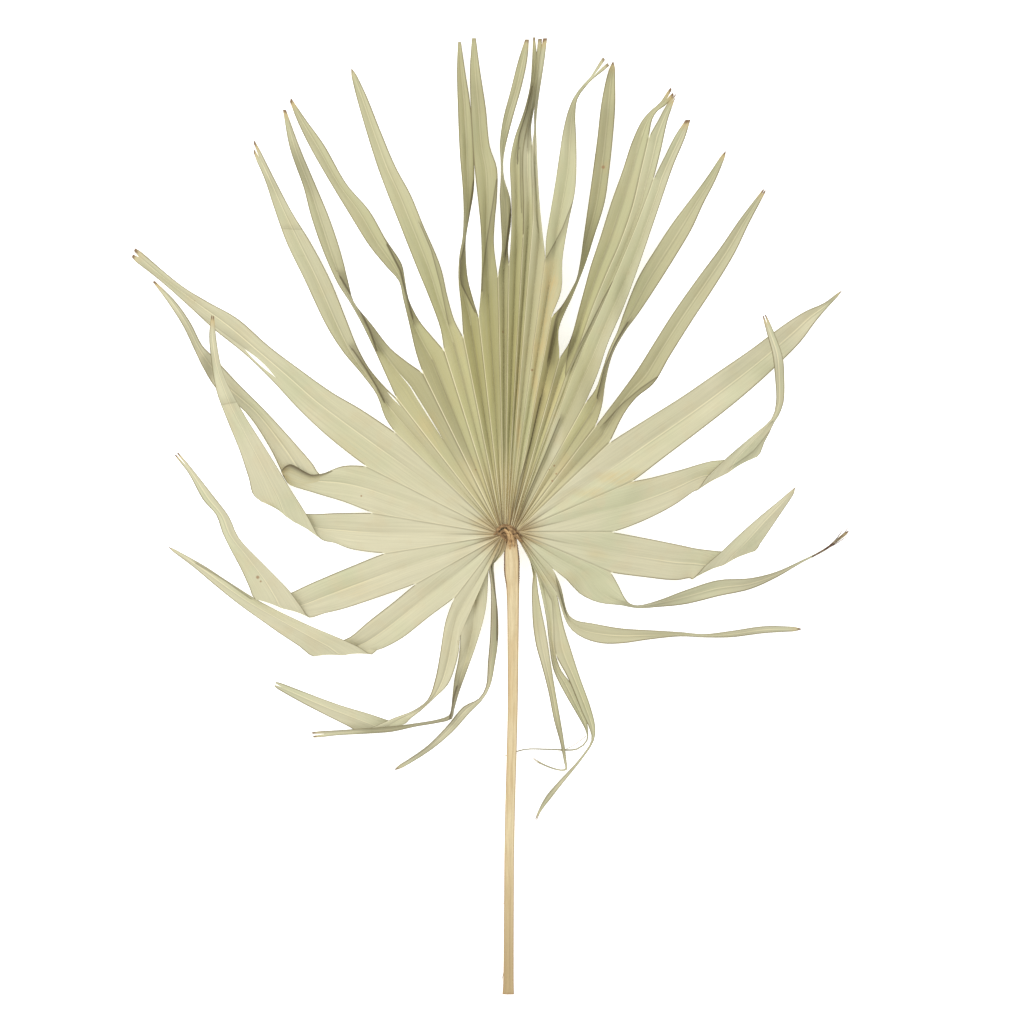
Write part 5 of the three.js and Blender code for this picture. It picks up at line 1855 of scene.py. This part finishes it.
def close_sheet(faces: list, start: int, rows: int, columns: int) -> None:
    """Adds the faces of a thin sheet whose upper points are followed by its lower ones.

    Args:
        faces: the mesh's faces, which grow.
        start: the number of the sheet's first point.
        rows: how many rows of points the sheet has.
        columns: how many points a row has.
    """
    size = rows * columns
    for row in range(rows - 1):
        for column in range(columns - 1):
            here = start + row * columns + column
            below = here + size
            faces.append((here, here + columns, here + columns + 1, here + 1))
            faces.append((below, below + 1, below + columns + 1, below + columns))
    rim = ([(0, k) for k in range(columns - 1)] + [(j, columns - 1) for j in range(rows - 1)]
           + [(rows - 1, k) for k in range(columns - 1, 0, -1)] + [(j, 0) for j in range(rows - 1, 0, -1)])
    loop = [start + j * columns + k for j, k in rim]
    for here, on in zip(loop, loop[1:] + loop[:1]):
        faces.append((here, on, on + size, here + size))


def close_tube(faces: list, start: int, rows: int, sides: int) -> None:
    """Adds the faces of a tube whose rings of points follow one another, with a cap at each end.

    Args:
        faces: the mesh's faces, which grow.
        start: the number of the first ring's first point.
        rows: how many rings there are.
        sides: how many points a ring has.
    """
    for k in range(rows - 1):
        for n in range(sides):
            here, on = start + k * sides + n, start + k * sides + (n + 1) % sides
            faces.append((here, here + sides, on + sides, on))
    last = start + (rows - 1) * sides
    faces.append(tuple(start + n for n in range(sides)))
    faces.append(tuple(last + n for n in range(sides))[::-1])


def add_thread(points: list, faces: list, line: tuple, radius: float, sides: int) -> None:
    """Adds one thin tapering tube.

    Args:
        points: the mesh's points, which grow.
        faces: its faces, which grow.
        line: the thread's places, as board X, Y and height.
        radius: at its start, in millimetres.
        sides: how many sides it has.
    """
    path = np.array([on_board(*p) for p in smooth_line(line, 5)])
    run = unit(np.gradient(path, axis=0))
    side = unit(np.cross(run, (0.3, 0.2, 1.0)))
    rise = np.cross(side, run)
    start = len(points)
    for k, centre in enumerate(path):
        size = radius * (1 - 0.75 * k / (len(path) - 1))
        for n in range(sides):
            angle = 2 * math.pi * n / sides
            points.append(centre + size * (math.cos(angle) * side[k] + math.sin(angle) * rise[k]))
    close_tube(faces, start, len(path), sides)


@dataclass
class Threads:
    """Loose dry fibres: at torn tips, between two segments and along the stalk.

    Attributes:
        lines: each thread's points on the board with their heights, and its radius.
        frayed: the dark ones at a frayed tip, in the same way.
        sides: how many sides a thread has.
    """

    lines: tuple = (
        (((504.6, 903, 5), (502.4, 902.4, 5.6), (501.2, 900.6, 6.4)), 0.3),
        (((503.8, 972, 2), (502.4, 978, 1.6), (501.6, 985, 0.8)), 0.4),
        (((541, 764, 5.2), (538, 762.5, 5.6), (532, 760.5, 6)), 0.3),
        (((458, 640, 17), (459.5, 650, 17.2), (458.6, 662, 15.4)), 0.16),
        (((838, 540, 2), (844, 534, 2.2), (849, 526, 1.4)), 0.4),
        (((842, 537, 2), (846, 535, 1.8), (850, 533, 1)), 0.3),
        (((586, 736, 5), (570, 747, 3.4), (552, 753, 2), (540, 752, 1.4)), 0.35),
    )
    frayed: tuple = (
        (((812, 557, 2.6), (826, 548, 2.6), (836, 539, 2.4), (842, 531, 2)), 0.7),
        (((818, 553, 2.6), (832, 545, 2.8), (842, 535, 2.4), (850, 525, 1.6)), 0.6),
        (((824, 550, 2.4), (837, 543, 2.4), (846, 537, 1.8), (851, 534, 1)), 0.45),
        (((830, 546, 2.4), (838, 536, 2.8), (844, 527, 2.2)), 0.35),
    )
    sides: int = 6

    def build(self) -> list:
        """Builds the pale threads as one piece and the dark ones as another.

        Returns:
            Both pieces.
        """
        pale = CrestFibre("thread_fibre", (0.42, 0.33, 0.19), (0.22, 0.15, 0.08))
        dark = CrestFibre("frayed_fibre", (0.20, 0.12, 0.08), (0.07, 0.035, 0.025))
        return [self.piece("loose_threads", self.lines, pale),
                self.piece("frayed_threads", self.frayed, dark)]

    def piece(self, name: str, lines: tuple, finish: CrestFibre) -> bpy.types.Object:
        """Builds one piece of threads.

        Args:
            name: the piece's name.
            lines: its threads, each as its points and its radius.
            finish: its finish.

        Returns:
            The piece.
        """
        points, faces = [], []
        for line, radius in lines:
            add_thread(points, faces, line, radius, self.sides)
        made = make_object(name, np.array(points), faces, finish.build())
        install(made, Slot.BLADE)
        return made


@dataclass
class Studio:
    """The pale floor, the soft lights and the camera that looks straight down.

    Attributes:
        floor_side: the floor's side in metres.
        sky: the strength of the even light from all round.
        key: the strength of the large soft light, in watts.
        key_place: where it hangs, in metres.
        key_size: its side in metres.
        lens: the camera's focal length in millimetres, on a sensor 36 mm wide.
        view: the board's middle in the picture, and the width in millimetres that the picture covers.
    """

    floor_side: float = 8.0
    sky: float = 1.02
    key: float = 34.0
    key_place: tuple = (-1.5, 1.3, 2.2)
    key_size: float = 1.6
    lens: float = 150.0
    view: tuple = (512, 512, 1024)

    def build(self) -> None:
        """Builds the floor, the lights and the camera."""
        half = self.floor_side / 2 / MM
        corners = [(-half, -half, 0), (half, -half, 0), (half, half, 0), (-half, half, 0)]
        floor = make_object("floor", np.array(corners, dtype=float), [(0, 1, 2, 3)], FloorPaint().build())
        self.light()
        self.camera()

    def light(self) -> None:
        """An even pale sky and one large soft light from the upper left."""
        world = bpy.data.worlds.new("studio_sky")
        world.use_nodes = True
        backdrop = world.node_tree.nodes["Background"]
        backdrop.inputs["Color"].default_value = (1, 1, 1, 1)
        backdrop.inputs["Strength"].default_value = self.sky
        bpy.context.scene.world = world
        lamp = bpy.data.lights.new("soft_key", "AREA")
        lamp.energy = self.key
        lamp.size = self.key_size
        holder = bpy.data.objects.new("soft_key", lamp)
        holder.location = self.key_place
        holder.rotation_euler = (-Vector(self.key_place)).to_track_quat("-Z", "Y").to_euler()
        bpy.context.scene.collection.objects.link(holder)
        bpy.context.scene.view_settings.view_transform = "Standard"

    def camera(self) -> None:
        """A camera straight above the board, with the fan's middle towards the top."""
        sensor = 36.0
        eye = bpy.data.cameras.new("overhead")
        eye.sensor_width = sensor
        eye.lens = self.lens
        eye.clip_end = 50
        holder = bpy.data.objects.new("overhead", eye)
        distance = self.lens / sensor * self.view[2] * MM
        aim = on_board(self.view[0], self.view[1], 0) * MM
        holder.location = (aim[0], aim[1], distance)
        bpy.context.scene.collection.objects.link(holder)
        bpy.context.scene.camera = holder


def main() -> None:
    """Builds the leaf and its studio."""
    logging.basicConfig(level=logging.INFO, format="%(name)s: %(message)s")
    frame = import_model()
    log.info("dressing %s", ", ".join(frame["nodes"]))
    Blade().build()
    RolledLip().build()
    Petiole().build()
    Hastula().build()
    Threads().build()
    Studio().build()


if __name__ == "__main__":
    main()
